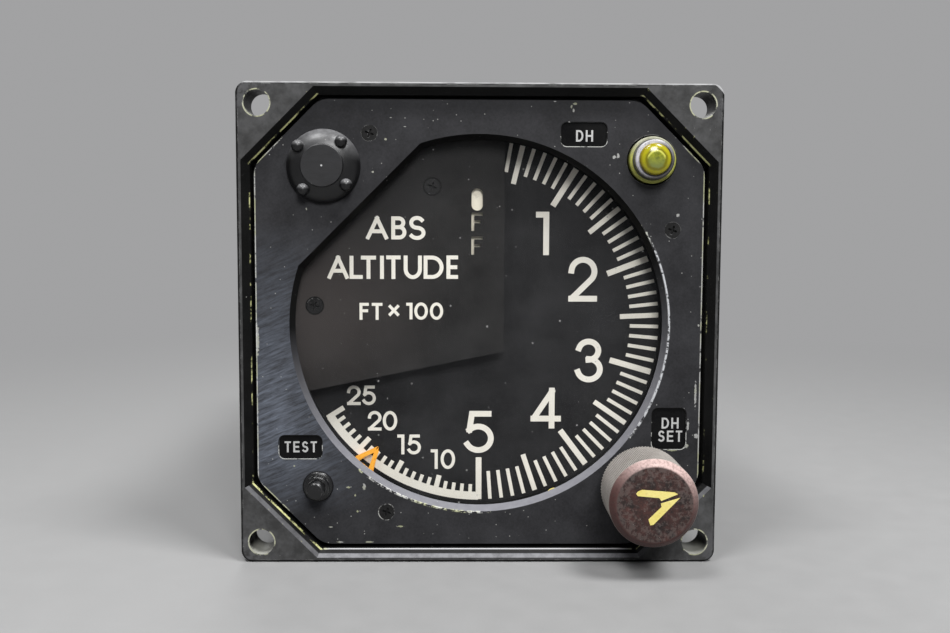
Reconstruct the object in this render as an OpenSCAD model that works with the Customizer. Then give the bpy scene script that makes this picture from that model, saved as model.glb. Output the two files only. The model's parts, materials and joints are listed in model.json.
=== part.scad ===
// Panel-mounted radio altitude indicator, three-inch square size.
// X is right and Z is up as the pilot sees it. Y runs from the pilot into the panel.
// The origin is the centre of the corner-hole pattern, on the bezel's panel-mounting face.

/* [Bezel] */
// Width and height of the square bezel
bezel_w = 82.8; // [82.2:0.1:85]
// Thickness of the bezel, front face to mounting face
bezel_t = 7; // [6.6:0.1:9]
// Radius of the bezel's four outer corners
bezel_corner_r = 2; // [1:0.1:3]
// Chamfer along the bezel's front outer edge
bezel_edge = 0.4; // [0.2:0.05:0.6]
// Distance from the bezel's edges to the corner holes' centres
hole_inset = 3.6; // [3.2:0.1:4]
// Diameter of the corner holes
hole_d = 4.4; // [3.6:0.1:4.8]
// Flat land between the bezel's edge and the recess bevel
land_w = 0.8; // [0.6:0.1:1.2]
// Leg of the recess's corner cuts at the front face
recess_cut = 12.4; // [11.5:0.1:13]
// Width and depth of the recess bevel
bevel_w = 1.3; // [0.8:0.1:1.6]
// Thickness of the inner web that carries the panel and the glass
web_t = 1.8; // [1.5:0.1:2.4]
// Radial step from the aperture out to the web's opening
web_step = 0.45; // [0.3:0.05:0.8]
// Radius of the posts that carry the movement plate
post_r = 2; // [1.6:0.1:2.2]
// Distance from the case's well to the middle of those posts
post_inset = 3.1; // [2.8:0.1:3.6]
// Height of those posts above and below the middle
post_z = 19.6; // [19:0.1:20.5]
// Length of the spigot that enters the case
spigot_len = 5.2; // [5:0.1:10]
// Wall of that spigot
spigot_wall = 2; // [1.6:0.1:2.2]

/* [Front panel] */
// Distance from the bezel's front face back to the panel's face
panel_setback = 2; // [1.6:0.1:2.4]
// Thickness of the panel
panel_t = 3; // [2.8:0.1:4]
// Groove left between the panel and the recess wall
panel_gap = 0.6; // [0.3:0.05:0.9]
// Radius of the panel's corners
panel_corner_r = 4; // [2:0.5:6]
// Least width of the panel between its side and the dial aperture
panel_margin = 5.75; // [5.5:0.05:6.5]
// How far the aperture's diagonal flat cuts into its circle
flat_drop = 3.55; // [3.2:0.05:4.2]
// Radial width of the aperture's sloping wall
aperture_slope = 0.75; // [0.4:0.05:1]
// Depth of the aperture's sloping wall
aperture_depth = 2; // [1.6:0.1:2.4]
// Depth of the three legend windows
legend_depth = 0.3; // [0.1:0.05:0.6]
// Corner radius of the legend windows
legend_r = 1; // [0.5:0.1:1.5]
// Head radius of the small countersunk screws
screw_head_r = 1.4; // [1.2:0.05:1.5]
// Shank radius of the small countersunk screws
screw_r = 0.75; // [0.6:0.05:0.9]

/* [Window and mask] */
// Thickness of the window glass
glass_t = 1.5; // [1.2:0.1:1.7]
// Overlap of the glass behind the aperture's edge
glass_lap = 1.45; // [1.2:0.05:1.7]
// Thickness of the gasket behind the glass
gasket_t = 0.3; // [0.2:0.05:0.5]
// Thickness of the mask plate
mask_t = 0.6; // [0.4:0.05:0.8]
// Gap between the glass and the mask
mask_gap = 0.3; // [0.2:0.05:0.6]
// Gap between the mask's outer edge and the aperture, as seen from the front
mask_margin = 0.15; // [0.05:0.05:0.5]
// Place of the mask's upright right edge
mask_right = 4.4; // [3.6:0.1:5.4]
// Height of the mask's lower right corner
mask_low = -5; // [-6:0.1:-4.4]
// Fall of the mask's lower edge towards the left, in degrees
mask_slope = 11.6; // [9:0.2:13]
// Radius of the mask's spacers
spacer_r = 1.6; // [1.5:0.05:1.9]

/* [Dial] */
// Gap between the dial plate, which is the bug ring's journal, and the aperture
dial_margin = 0.1; // [0:0.05:0.3]
// Thickness of the dial plate
dial_t = 1.2; // [1:0.1:1.6]
// Plain rim of the dial outside the scale
scale_margin = 0.35; // [0.25:0.05:0.8]
// Depth of the engraved scale
scale_depth = 0.12; // [0.05:0.01:0.2]
// Dial angle of zero feet, clockwise from the top
zero_deg = -4.7; // [-6:0.1:-3]
// Degrees for each hundred feet on the open part of the scale
open_deg = 36.9; // [36:0.1:37.5]
// Degrees for each hundred feet on the close part of the scale
close_deg = 2.88; // [2.6:0.02:3]
// Width of the band along the close part of the scale
band_w = 1.5; // [1:0.1:2]

/* [Pointer and flag] */
// Gap from the pointer's tip to the scale's outer edge
pointer_short = 4.2; // [4:0.1:6.5]
// Dial angle at which the pointer is parked behind the mask
pointer_deg = 262; // [258:1:264]
// Thickness of the pointer
pointer_t = 0.4; // [0.3:0.05:0.5]
// Radius of the pointer shaft
shaft_r = 1.25; // [1:0.05:1.4]
// Thickness of the flag
flag_t = 0.4; // [0.3:0.05:0.5]
// Width of the flag's vane
flag_w = 3.4; // [3:0.1:4]
// Length of the flag's vane
flag_len = 13; // [12.8:0.1:13.4]
// Radius of the flag's spindle
spindle_r = 0.5; // [0.4:0.05:0.6]

/* [Decision height knob] */
// Radius of the knob
knob_r = 7.4; // [6.8:0.1:7.8]
// Length of the knob
knob_len = 12; // [10:0.1:14]
// Chamfer round the knob's front face
knob_edge = 1; // [0.6:0.1:1.4]
// Gap between the knob and the bezel's front plane
knob_gap = 0.2; // [0.1:0.1:0.6]
// Distance from the dial's edge to the pitch circle of the knob's ring gear
ring_band = 1.95; // [1.8:0.05:2.2]
// Radius of the knob's shaft
knob_shaft_r = 1.5; // [1.3:0.05:1.6]
// Teeth on the bug ring
ring_teeth = 108; // [108:1:109]
// Teeth on the knob's pinion
pinion_teeth = 16; // [15:1:16]
// Thickness of the bug ring
ring_t = 1.5; // [1.2:0.1:1.5]
// Thickness of the bug
bug_t = 0.5; // [0.3:0.05:0.6]
// Dial angle at which the bug is set
bug_deg = 218.6; // [216:0.2:222]
// Reach of the bug inwards from the scale's outer edge
bug_reach = 3.6; // [2.5:0.1:3.7]

/* [Lamps and test button] */
// Radius of the panel lamp's cap
cap_r = 6.45; // [6:0.05:6.8]
// Height of that cap above the panel
cap_h = 2.8; // [2.4:0.1:3.4]
// Radius of the cap's flat hub
cap_hub_r = 3.6; // [3.2:0.1:4]
// Radius of the cap's finger nubs
nub_r = 1; // [0.8:0.05:1.1]
// Outer radius of the annunciator's metal ring
lamp_ring_r = 4; // [3.8:0.05:4.1]
// Distance from the panel's corner cut to the annunciator's axis
lamp_inset = 5.65; // [5.5:0.05:6.5]
// Radius of the annunciator's lens
lens_r = 2.7; // [2.4:0.05:2.8]
// Height of the lens above the panel
lens_h = 4.3; // [3.8:0.1:5]
// Radius of the test button
button_r = 1.5; // [1.3:0.05:1.6]
// Height of the test button above the panel
button_h = 4.3; // [4:0.1:5]
// Travel of the test button
button_travel = 2; // [1.5:0.1:2]
// Flange radius of the test button's bushing
bushing_r = 2.7; // [2.6:0.05:3]

/* [Movement] */
// Thickness of the two movement plates
plate_t = 2; // [1.6:0.1:2.4]
// Distance between the two movement plates
pillar_len = 20.8; // [20:0.1:24]
// Radius of the pillars between them
pillar_r = 2; // [1.6:0.1:2.4]
// Module of the servo gears
servo_module = 0.5; // [0.49:0.005:0.51]
// Teeth on the pointer's gear
pointer_teeth = 60; // [59:1:61]
// Teeth on the motor's pinion
motor_teeth = 12; // [12:1:13]
// Radius of the servo motor
motor_r = 9; // [8:0.1:9.2]
// Length of the servo motor
motor_len = 28; // [24:0.5:30]
// Radius of the feedback potentiometer
pot_r = 8.4; // [7:0.1:8.5]

/* [Case] */
// Step from the bezel's edge in to the case's wall
case_step = 1.1; // [0.8:0.05:1.4]
// Length of the case behind the mounting face
case_len = 118; // [112:1:150]
// Depth of the rebate in the bezel's back that takes the case's front end
case_rebate = 0.4; // [0.3:0.1:0.6]
// Wall of the case
case_wall = 1.2; // [1:0.1:1.4]
// Leg of the case's corner cuts
case_cut = 10.3; // [10:0.1:11]
// Bend radius along the case's edges
case_bend = 2.5; // [1.6:0.1:4]
// Thickness of the rear cover
cover_t = 2.5; // [2:0.1:4]
// Thickness of the circuit boards
board_t = 1.6; // [1:0.1:2]
// Distance from the bezel's spigot in to the circuit boards' fixing rods
rod_inset = 11; // [10.5:0.1:12]
// Radius of those rods
rod_r = 1.6; // [1.4:0.1:1.8]

/* [Rear connector] */
// Outer radius of the connector's shell
shell_r = 11.1; // [10:0.1:12]
// Wall of the connector's shell
shell_wall = 1.5; // [1:0.1:2]
// Length of the shell behind its flange
shell_len = 15; // [13:0.5:18]
// Width of the connector's square flange
flange_w = 26; // [25.5:0.5:30]
// Radius of the contact pins
pin_r = 0.8; // [0.5:0.05:0.9]

/* [Hidden] */
$fn = 96;

// Overshoot of cutting bodies, and the clearances of the fits
over = 0.1;
running = 0.05;
fixed_fit = 0.02;
loose = 0.1;
layer_gap = 0.35;
pointer_clear = 0.6;
plate_gap = 0.5;

// Depths along Y, from the front to the back
y_front = -bezel_t;
y_panel = y_front + panel_setback;
y_web = y_panel + panel_t;
y_web_back = y_web + web_t;
y_glass = y_panel + aperture_depth;
y_glass_back = y_glass + glass_t;
y_gasket_back = y_glass_back + gasket_t;
y_mask = y_glass_back + mask_gap;
y_mask_back = y_mask + mask_t;
y_flag = y_mask_back + layer_gap;
y_pointer = y_flag + flag_t + layer_gap;
y_dial = y_pointer + pointer_t + pointer_clear;
y_dial_back = y_dial + dial_t;
y_ring = y_dial - 0.4;
y_ring_back = y_ring + ring_t;
y_plate = y_dial_back + plate_gap;
y_plate_back = y_plate + plate_t;
y_rear_plate = y_plate_back + pillar_len;
y_rear_plate_back = y_rear_plate + plate_t;
y_gear = y_rear_plate - 6;
y_gear_back = y_gear + 2;
y_cover_back = case_len + cover_t;
y_flange_back = y_cover_back + 2.4;
y_shell_back = y_flange_back + shell_len;

// Octagons of the bezel's recess, the panel and the case
recess_half = bezel_w / 2 - land_w;
pocket_half = recess_half - bevel_w;
pocket_cut = inset_cut(recess_cut, bevel_w);
panel_half = pocket_half - panel_gap;
panel_cut = inset_cut(pocket_cut, panel_gap);
case_half = bezel_w / 2 - case_step;
spigot_inset = case_wall + loose;
spigot_half = case_half - spigot_inset;
spigot_cut = inset_cut(case_cut, spigot_inset);
well_half = spigot_half - spigot_wall;
well_cut = inset_cut(spigot_cut, spigot_wall);
panel_diag = (2 * panel_half - panel_cut) / sqrt(2);
hole_at = bezel_w / 2 - hole_inset;
post_x = well_half - post_inset;
rod_at = spigot_half - rod_inset;

// Dial, from the panel's width inwards
aperture_r = panel_half - panel_margin;
aperture_flat = aperture_r - flat_drop;
web_open_r = aperture_r + web_step;
mask_r = aperture_r - mask_margin;
dial_r = aperture_r - dial_margin;
scale_r = dial_r - scale_margin;
pointer_len = scale_r - pointer_short;
bug_tip_r = scale_r - bug_reach;

// Gears
pressure_deg = 20;
tooth_slack = 0.12;
knob_dir = -44.5;
ring_module = 2 * (dial_r + ring_band) / ring_teeth;
knob_reach = ring_module * (ring_teeth + pinion_teeth) / 2;
ring_tip_r = ring_module * (ring_teeth / 2 + 0.9);
ring_bore_r = dial_r + running;
motor_reach = servo_module * (pointer_teeth + motor_teeth) / 2;
motor_at = [0, -motor_reach];

// Front-view places of the controls, lamps and screws, as [x, z]
lamp_tube_r = 2.4;
switch_w = 7.6;
knob_at = polar(knob_reach, knob_dir);
cap_at = polar(ring_tip_r + lamp_tube_r + 0.5, 134.5);
lamp_at = polar(panel_diag - lamp_inset, 44.1);
button_at = polar(ring_tip_r + switch_w / 2 + 0.8, 225.2);
flag_at = polar(aperture_r - 8.9, 131.6);
vane_at = [-0.4, flag_at[1] + 0.1];
panel_screw_at = [
  polar(aperture_r + 5.1, 119.9), polar(aperture_r + 4.3, 26.5), polar(aperture_r + 3.8, 243.9)
];
mask_screw_at = [polar(mask_r - 7.3, 109), polar(mask_r - 3.6, 173.9)];
dial_foot_at = polar(dial_r - 6.8, -32.5);
legend_windows = [
  [polar(aperture_r + 4.5, 61.6), [7.9, 4.1]],
  [polar(aperture_r + 4.9, 214.5), [7.5, 4.1]],
  [polar(aperture_r + 5, -28.5), [6, 7.3]]
];
flag_slots = [3.8, -0.1, -4.3];
slot_w = 2;
slot_h = [3.9, 3.2, 3.2];
slot_stroke = 0.5;

// Scale marks, as [length, width], and how far they stop short of the scale's outer edge
major_tick = [7.9, 1.1];
half_tick = [7.1, 0.95];
minor_tick = [5.3, 0.7];
close_major_tick = [3.7, 0.95];
close_tick = [2.9, 0.7];
tick_end = 0.05;

// Mechanical layout behind the dial
bearing_r = 2.5;
bearing_flange_r = 3.3;
bearing_flange_t = 0.8;
lamp_collar_r = 4.1;
lamp_bore_r = 1.8;
cap_neck_r = 3.3;
bulb_r = 1.5;
lamp_body_r = 3.4;
knob_bush_r = 3.2;
dh_pot_r = 6;
pillar_at = [well_half - 7, 10];
post_screw_r = 0.8;
case_screw_r = 1;
case_screw_head_r = 1.9;
case_screw_at = 20;
cover_screw_head_r = 2.8;
board_half = spigot_half - 3;
board_cut = inset_cut(spigot_cut, 3);
first_board = 64;
second_board = 88;
shell_bore_r = shell_r - shell_wall;
shell_seat_r = shell_bore_r + 0.6;
pin_ring_r = 6.2;
flange_hole = 9.6;

function inset_cut(cut, inset) = cut - inset * (2 - sqrt(2));
function octagon(half, cut) = [
  [half, cut - half], [half, half - cut], [half - cut, half], [cut - half, half],
  [-half, half - cut], [-half, cut - half], [cut - half, -half], [half - cut, -half]
];
// Dial direction of an angle clockwise from the top
function dial_point(angle, r) = [r * sin(angle), r * cos(angle)];
// Dial angle of a height in feet: open to 500, close above it
function dial_deg(feet) = zero_deg + (feet <= 500
  ? open_deg * feet / 100
  : open_deg * 5 + close_deg * (feet - 500) / 100);
function involute(angle) = tan(angle) * 180 / PI - angle;
// Half width of a gear tooth, in degrees, at a radius
function tooth_half(teeth, pitch_r, r, slack) =
  90 / teeth * (1 - slack) + involute(pressure_deg)
  - involute(acos(min(1, pitch_r * cos(pressure_deg) / r)));
function polar(r, angle) = [r * cos(angle), r * sin(angle)];

// Extrusion of a front-view outline from depth y0 to depth y1
module slab(y0, y1) {
  translate([0, y1, 0]) rotate([90, 0, 0]) linear_extrude(y1 - y0) children();
}

module rod(r, y0, y1, at = [0, 0]) {
  translate([at[0], y0, at[1]]) rotate([-90, 0, 0]) cylinder(r = r, h = y1 - y0);
}

module taper(r0, r1, y0, y1, at = [0, 0]) {
  translate([at[0], y0, at[1]]) rotate([-90, 0, 0]) cylinder(r1 = r0, r2 = r1, h = y1 - y0);
}

module tube(r, bore, y0, y1, at = [0, 0]) {
  difference() {
    rod(r, y0, y1, at);
    rod(bore, y0 - over, y1 + over, at);
  }
}

// Turned piece: a profile of [radius, depth] round an axis at a front-view place
module turned(at = [0, 0]) {
  translate([at[0], 0, at[1]]) rotate([-90, 0, 0]) rotate_extrude() children();
}

module place(at) {
  translate([at[0], at[1]]) children();
}

module four_ways(at) {
  for (sx = [-1, 1], sz = [-1, 1]) {
    place([sx * at[0], sz * at[1]]) children();
  }
}

module rounded_rect(size, r) {
  square([size[0] - 2 * r, size[1]], center = true);
  square([size[0], size[1] - 2 * r], center = true);
  four_ways([size[0] / 2 - r, size[1] / 2 - r]) circle(r);
}

// Octagon with every corner rounded to radius r
module round_octagon(half, cut, r) {
  core = octagon(half - r, inset_cut(cut, r));
  polygon(core);
  for (i = [0:7]) {
    a = core[i];
    b = core[(i + 1) % 8];
    side = (b - a) / norm(b - a);
    out = [side[1], -side[0]] * r;
    polygon([a, a + out, b + out, b]);
    place(a) circle(r);
  }
}

// Half-plane below the diagonal flat at the upper left
module below_flat(flat) {
  far = 60;
  rotate(135) translate([-far, -far]) square([far + flat, 2 * far]);
}

module flat_disc(r, flat) {
  intersection() {
    circle(r);
    below_flat(flat);
  }
}

module gear_outline(teeth, pitch_r, addendum, dedendum, slack, turn) {
  root = pitch_r - dedendum;
  tip = pitch_r + addendum;
  radii = [root, pitch_r, tip];
  polygon([
    for (k = [0:teeth - 1])
      for (j = [0:5])
        let (r = radii[j < 3 ? j : 5 - j], side = j < 3 ? -1 : 1)
          polar(r, turn + k * 360 / teeth + side * tooth_half(teeth, pitch_r, r, slack))
  ]);
}

// Flat plate with rounded corners and a chamfered front edge
module bezel_blank() {
  w = bezel_w;
  flat_len = w - 2 * bezel_corner_r;
  corner = w / 2 - bezel_corner_r;
  shoulder = y_front + bezel_edge;
  for (turn = [0, 90]) {
    rotate([0, turn, 0]) translate([0, 0, -flat_len / 2]) linear_extrude(flat_len) polygon([
      [-w / 2, 0], [-w / 2, shoulder], [bezel_edge - w / 2, y_front],
      [w / 2 - bezel_edge, y_front], [w / 2, shoulder], [w / 2, 0]
    ]);
  }
  for (sx = [-1, 1], sz = [-1, 1]) {
    rod(bezel_corner_r, shoulder, 0, [sx * corner, sz * corner]);
    taper(bezel_corner_r - bezel_edge, bezel_corner_r, y_front, shoulder, [sx * corner, sz * corner]);
  }
}

module bezel() {
  color([0.13, 0.13, 0.14]) difference() {
    union() {
      difference() {
        bezel_blank();
        slab(-case_rebate, over)
          round_octagon(case_half + fixed_fit, inset_cut(case_cut, -fixed_fit), case_bend);
      }
      slab(-case_rebate - over, spigot_len) polygon(octagon(spigot_half, spigot_cut));
    }
    hull() {
      slab(y_front - over, y_front) polygon(octagon(recess_half, recess_cut));
      slab(y_front + bevel_w - over, y_front + bevel_w) polygon(octagon(pocket_half, pocket_cut));
    }
    slab(y_front, y_web) polygon(octagon(pocket_half, pocket_cut));
    difference() {
      slab(y_web_back, spigot_len + over) polygon(octagon(well_half, well_cut));
      slab(y_web_back - over, y_plate) four_ways([post_x, post_z]) circle(post_r);
    }
    slab(y_web - over, y_gasket_back) flat_disc(glass_edge_r() + loose, glass_edge_flat() + loose);
    slab(y_web, y_web_back + over) flat_disc(web_open_r, aperture_flat + 0.8);
    slab(y_front - over, over) four_ways([hole_at, hole_at]) circle(d = hole_d);
    slab(y_web - over, y_web_back + over) {
      place(cap_at) circle(lamp_tube_r + loose);
      place(lamp_at) circle(lamp_body_r + loose);
      place(button_at) circle(bushing_body_r() + loose);
      place(knob_at) circle(knob_bush_r + fixed_fit);
      for (at = panel_screw_at) place(at) circle(screw_r);
    }
    slab(y_web_back + 0.4, y_plate + over) four_ways([post_x, post_z]) circle(post_screw_r);
    case_screw_places() rod(case_screw_r, -over, spigot_inset + spigot_wall + over);
  }
}

function glass_edge_r() = aperture_r + glass_lap;
function glass_edge_flat() = aperture_flat + glass_lap;
function bushing_body_r() = bushing_r - 0.5;

// Sloping wall of the dial aperture, as a cutting body: a cone cut off by a sloping plane
module aperture_cut() {
  slope_deg = atan2(aperture_slope, aperture_depth);
  y0 = y_panel - over;
  y1 = y_panel + aperture_depth + over;
  lead = aperture_slope * over / aperture_depth;
  far = 2 * aperture_r;
  intersection() {
    taper(aperture_r + lead, aperture_r - aperture_slope - lead, y0, y1);
    rotate([0, -135, 0]) translate([aperture_flat, y_panel, 0]) rotate([0, 0, slope_deg])
      translate([-far, -far / 2, -far / 2]) cube([far, far, far]);
  }
}

module countersink(at, face, depth) {
  taper(screw_head_r, screw_r, face, face + screw_head_r - screw_r, at);
  rod(screw_head_r, face - over, face, at);
  rod(screw_r, face, face + depth, at);
}

// Small countersunk screw with a cross recess
module flat_screw(at, face, len) {
  slot = screw_head_r * 1.1;
  difference() {
    union() {
      taper(screw_head_r - fixed_fit, screw_r - fixed_fit, face, face + screw_head_r - screw_r, at);
      rod(screw_r - fixed_fit, face, face + len, at);
    }
    for (turn = [0, 90]) {
      translate([at[0], face, at[1]]) rotate([0, turn + 20, 0]) cube([slot, 0.9, 0.35], center = true);
    }
  }
}

module front_panel() {
  color([0.1, 0.1, 0.11]) difference() {
    slab(y_panel, y_web) round_octagon(panel_half, panel_cut, panel_corner_r);
    aperture_cut();
    slab(y_glass, y_web + over) flat_disc(glass_edge_r() + loose, glass_edge_flat() + loose);
    for (window = legend_windows) {
      slab(y_panel - over, y_panel + legend_depth) place(window[0]) rounded_rect(window[1], legend_r);
    }
    slab(y_panel - over, y_web + over) {
      place(cap_at) circle(lamp_collar_r + loose);
      place(lamp_at) circle(lamp_ring_r + 0.3);
      place(button_at) circle(bushing_body_r() + loose);
      place(knob_at) circle(knob_bush_r + loose);
    }
    for (at = panel_screw_at) {
      countersink(at, y_panel, panel_t + over);
    }
  }
}

module panel_screws() {
  color([0.12, 0.12, 0.12]) for (at = panel_screw_at) {
    flat_screw(at, y_panel, panel_t + web_t - 0.1);
  }
}

module window_glass() {
  color([0.8, 0.85, 0.85, 0.3]) slab(y_glass, y_glass_back) flat_disc(glass_edge_r(), glass_edge_flat());
}

module window_gasket() {
  color([0.08, 0.08, 0.08]) slab(y_glass_back, y_gasket_back) difference() {
    flat_disc(glass_edge_r(), glass_edge_flat());
    flat_disc(web_open_r, aperture_flat + 0.8);
  }
}

module mask_outline() {
  far = 40;
  intersection() {
    flat_disc(mask_r, aperture_flat + 0.4);
    polygon([
      [mask_right, far], [mask_right, mask_low],
      [mask_right - far, mask_low - far * tan(mask_slope)], [-far, far]
    ]);
  }
}

// One stencilled letter: an oval first, then two capital letters of three bars
module flag_letter(i) {
  h = slot_h[i];
  if (i == 0) {
    translate([0, h / 2 - slot_w / 2]) circle(slot_w / 2);
    translate([0, slot_w / 2 - h / 2]) circle(slot_w / 2);
    square([slot_w, h - slot_w], center = true);
  } else {
    translate([-slot_w / 2, -h / 2]) square([slot_stroke, h]);
    translate([-slot_w / 2, h / 2 - slot_stroke]) square([slot_w, slot_stroke]);
    translate([-slot_w / 2, -slot_stroke / 2]) square([slot_w * 0.8, slot_stroke]);
  }
}

module mask() {
  color([0.11, 0.1, 0.1]) difference() {
    slab(y_mask, y_mask_back) difference() {
      mask_outline();
      for (i = [0:2]) {
        place([vane_at[0], vane_at[1] + flag_slots[i]]) flag_letter(i);
      }
    }
    for (at = mask_screw_at) {
      countersink(at, y_mask, mask_t + over);
    }
  }
}

module mask_spacers() {
  color([0.6, 0.6, 0.6]) for (at = mask_screw_at) {
    tube(spacer_r, screw_r, y_mask_back, y_dial, at);
  }
}

module mask_screws() {
  color([0.15, 0.15, 0.15]) for (at = mask_screw_at) {
    flat_screw(at, y_mask, y_plate_back - y_mask);
  }
}

module tick(feet, len, w) {
  rotate(-dial_deg(feet)) translate([-w / 2, scale_r - len]) square([w, len - tick_end]);
}

// Engraved scale: open to 500 feet, then close marks on a band up to 2500
module scale_marks() {
  for (feet = [40:10:500]) {
    size = feet % 100 == 0 ? major_tick : feet % 50 == 0 ? half_tick : minor_tick;
    tick(feet, size[0], size[1]);
  }
  for (feet = [600:100:2500]) {
    size = feet % 500 == 0 ? close_major_tick : close_tick;
    tick(feet, size[0], size[1]);
  }
  band_half = (dial_deg(2500) - dial_deg(500)) / 2;
  far = 2 * scale_r;
  intersection() {
    difference() {
      circle(scale_r);
      circle(scale_r - band_w);
    }
    rotate(-dial_deg(500) - band_half)
      polygon([[0, 0], dial_point(band_half, far), dial_point(-band_half, far)]);
  }
}

module dial_plate() {
  color([0.12, 0.12, 0.12]) difference() {
    rod(dial_r, y_dial, y_dial_back);
    rod(bearing_r - 0.3, y_dial - over, y_dial_back + over);
    rod(spindle_r + 0.4, y_dial - over, y_dial_back + over, flag_at);
    for (at = mask_screw_at) {
      rod(screw_r, y_dial - over, y_dial_back + over, at);
    }
    slab(y_dial - over, y_dial + scale_depth) scale_marks();
  }
}

module bug_ring() {
  color([0.7, 0.6, 0.3]) slab(y_ring, y_ring_back) difference() {
    gear_outline(ring_teeth, ring_module * ring_teeth / 2, ring_module * 0.9, ring_module * 1.15, tooth_slack,
      knob_dir + 180 / ring_teeth);
    circle(ring_bore_r);
  }
}

// Two-stroke marker on a tab that is fixed to the ring's front face
module dh_bug() {
  tab_in = ring_bore_r + 0.2;
  tab_out = ring_bore_r + 0.9;
  tab_half = 2.4;
  leg_half = 2.1;
  leg_w = 0.95;
  leg_in = leg_half - leg_w;
  apex = 0.1;
  apex_r = bug_tip_r + leg_w;
  color([0.95, 0.5, 0.08]) slab(y_ring - bug_t, y_ring) rotate(-bug_deg) polygon([
    [tab_half, tab_out], [-tab_half, tab_out], [-tab_half, tab_in], [-leg_half, tab_in],
    [-apex, bug_tip_r], [-apex, apex_r], [-leg_in, tab_in], [leg_in, tab_in],
    [apex, apex_r], [apex, bug_tip_r], [leg_half, tab_in], [tab_half, tab_in]
  ]);
}

module pointer() {
  hub = 2 * shaft_r;
  color([0.9, 0.88, 0.8]) slab(y_pointer, y_pointer + pointer_t) rotate(-pointer_deg) difference() {
    union() {
      circle(hub);
      polygon([
        [1, 0], [1, pointer_len * 0.6], [0.25, pointer_len],
        [-0.25, pointer_len], [-1, pointer_len * 0.6], [-1, 0]
      ]);
    }
    circle(shaft_r + fixed_fit);
  }
}

module pointer_shaft() {
  color([0.75, 0.75, 0.76]) rod(shaft_r, y_pointer, y_rear_plate_back + 11);
}

module pointer_gear() {
  pitch_r = servo_module * pointer_teeth / 2;
  color([0.72, 0.6, 0.32]) difference() {
    union() {
      slab(y_gear, y_gear_back) gear_outline(pointer_teeth, pitch_r,
        servo_module * 0.8, servo_module * 1.2, tooth_slack, 270 + 180 / pointer_teeth);
      rod(2.4 * shaft_r, y_gear - 2, y_gear);
    }
    rod(shaft_r + fixed_fit, y_gear - 2 - over, y_gear_back + over);
    for (turn = [0:60:300]) {
      rod(pitch_r * 0.2, y_gear - over, y_gear_back + over, polar(pitch_r * 0.6, turn));
    }
  }
}

module shaft_bearings() {
  color([0.65, 0.5, 0.25]) {
    turned() polygon([
      [shaft_r + running, y_plate], [bearing_r, y_plate], [bearing_r, y_plate_back],
      [bearing_flange_r, y_plate_back], [bearing_flange_r, y_plate_back + bearing_flange_t],
      [shaft_r + running, y_plate_back + bearing_flange_t]
    ]);
    turned() polygon([
      [shaft_r + running, y_rear_plate - bearing_flange_t], [bearing_flange_r, y_rear_plate - bearing_flange_t],
      [bearing_flange_r, y_rear_plate], [bearing_r, y_rear_plate],
      [bearing_r, y_rear_plate_back], [shaft_r + running, y_rear_plate_back]
    ]);
  }
}

module servo_motor() {
  back = y_rear_plate_back + motor_len;
  color([0.5, 0.5, 0.52]) turned(motor_at) polygon([
    [1 + running, y_rear_plate], [3.5, y_rear_plate], [3.5, y_rear_plate_back],
    [motor_r - 0.6, y_rear_plate_back], [motor_r, y_rear_plate_back + 0.6],
    [motor_r, back - 4], [motor_r - 1, back - 3], [motor_r - 1, back],
    [0, back], [0, y_rear_plate_back + 7], [1 + running, y_rear_plate_back + 7]
  ]);
}

// Pinion cut on the motor's own shaft
module motor_pinion() {
  color([0.75, 0.75, 0.76]) {
    rod(1, y_gear - 1, y_rear_plate_back + 6.5, motor_at);
    slab(y_gear - 0.5, y_gear_back + 0.5) place(motor_at)
      gear_outline(motor_teeth, servo_module * motor_teeth / 2, servo_module, servo_module * 1.1,
        tooth_slack, 90);
  }
}

// Three solder lugs standing out of the top of a round body
module solder_lugs(at, y0, body_r) {
  spread = body_r / 3;
  root = body_r * 0.7;
  for (i = [-1:1]) {
    translate([at[0] + i * spread - 0.5, y0, at[1] + root]) cube([1, 0.5, body_r * 0.3 + 2.4]);
  }
}

module feedback_pot() {
  color([0.25, 0.3, 0.4]) {
    difference() {
      rod(pot_r, y_rear_plate_back, y_rear_plate_back + 16);
      rod(shaft_r + running, y_rear_plate_back - over, y_rear_plate_back + 12);
      rod(bearing_r + loose, y_rear_plate_back - over, y_rear_plate_back + 0.5);
    }
    solder_lugs([0, 0], y_rear_plate_back + 13, pot_r);
  }
}

module flag() {
  reach = vane_at[0] - flag_at[0];
  color([0.9, 0.88, 0.78]) slab(y_flag, y_flag + flag_t) difference() {
    union() {
      place(flag_at) circle(1.6);
      translate([flag_at[0], flag_at[1] - 0.8]) square([reach, 1.6]);
      place(vane_at) square([flag_w, flag_len], center = true);
    }
    place(flag_at) circle(spindle_r + fixed_fit);
  }
}

module flag_spindle() {
  color([0.75, 0.75, 0.76]) rod(spindle_r, y_flag, y_plate_back + 4, flag_at);
}

module flag_actuator() {
  color([0.2, 0.2, 0.22]) difference() {
    union() {
      rod(5, y_plate_back, y_plate_back + 1.2, flag_at);
      rod(4.5, y_plate_back, y_plate_back + 9, flag_at);
    }
    rod(spindle_r + running, y_plate_back - over, y_plate_back + 4.5, flag_at);
  }
}

module knob() {
  back = y_front - knob_gap;
  front = back - knob_len;
  bore_end = front + 2.5;
  relief_r = 5.6;
  color([0.36, 0.25, 0.22]) turned(knob_at) polygon([
    [0, front], [knob_r - knob_edge, front], [knob_r, front + knob_edge],
    [knob_r, back - 0.3], [knob_r - 0.3, back], [relief_r, back],
    [relief_r, back - 1.2], [knob_shaft_r + fixed_fit, back - 1.2],
    [knob_shaft_r + fixed_fit, bore_end], [0, bore_end]
  ]);
}

module knob_shaft() {
  front = y_front - knob_gap - knob_len + 2.6;
  color([0.75, 0.75, 0.76]) rod(knob_shaft_r, front, y_plate_back + 6, knob_at);
}

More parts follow.
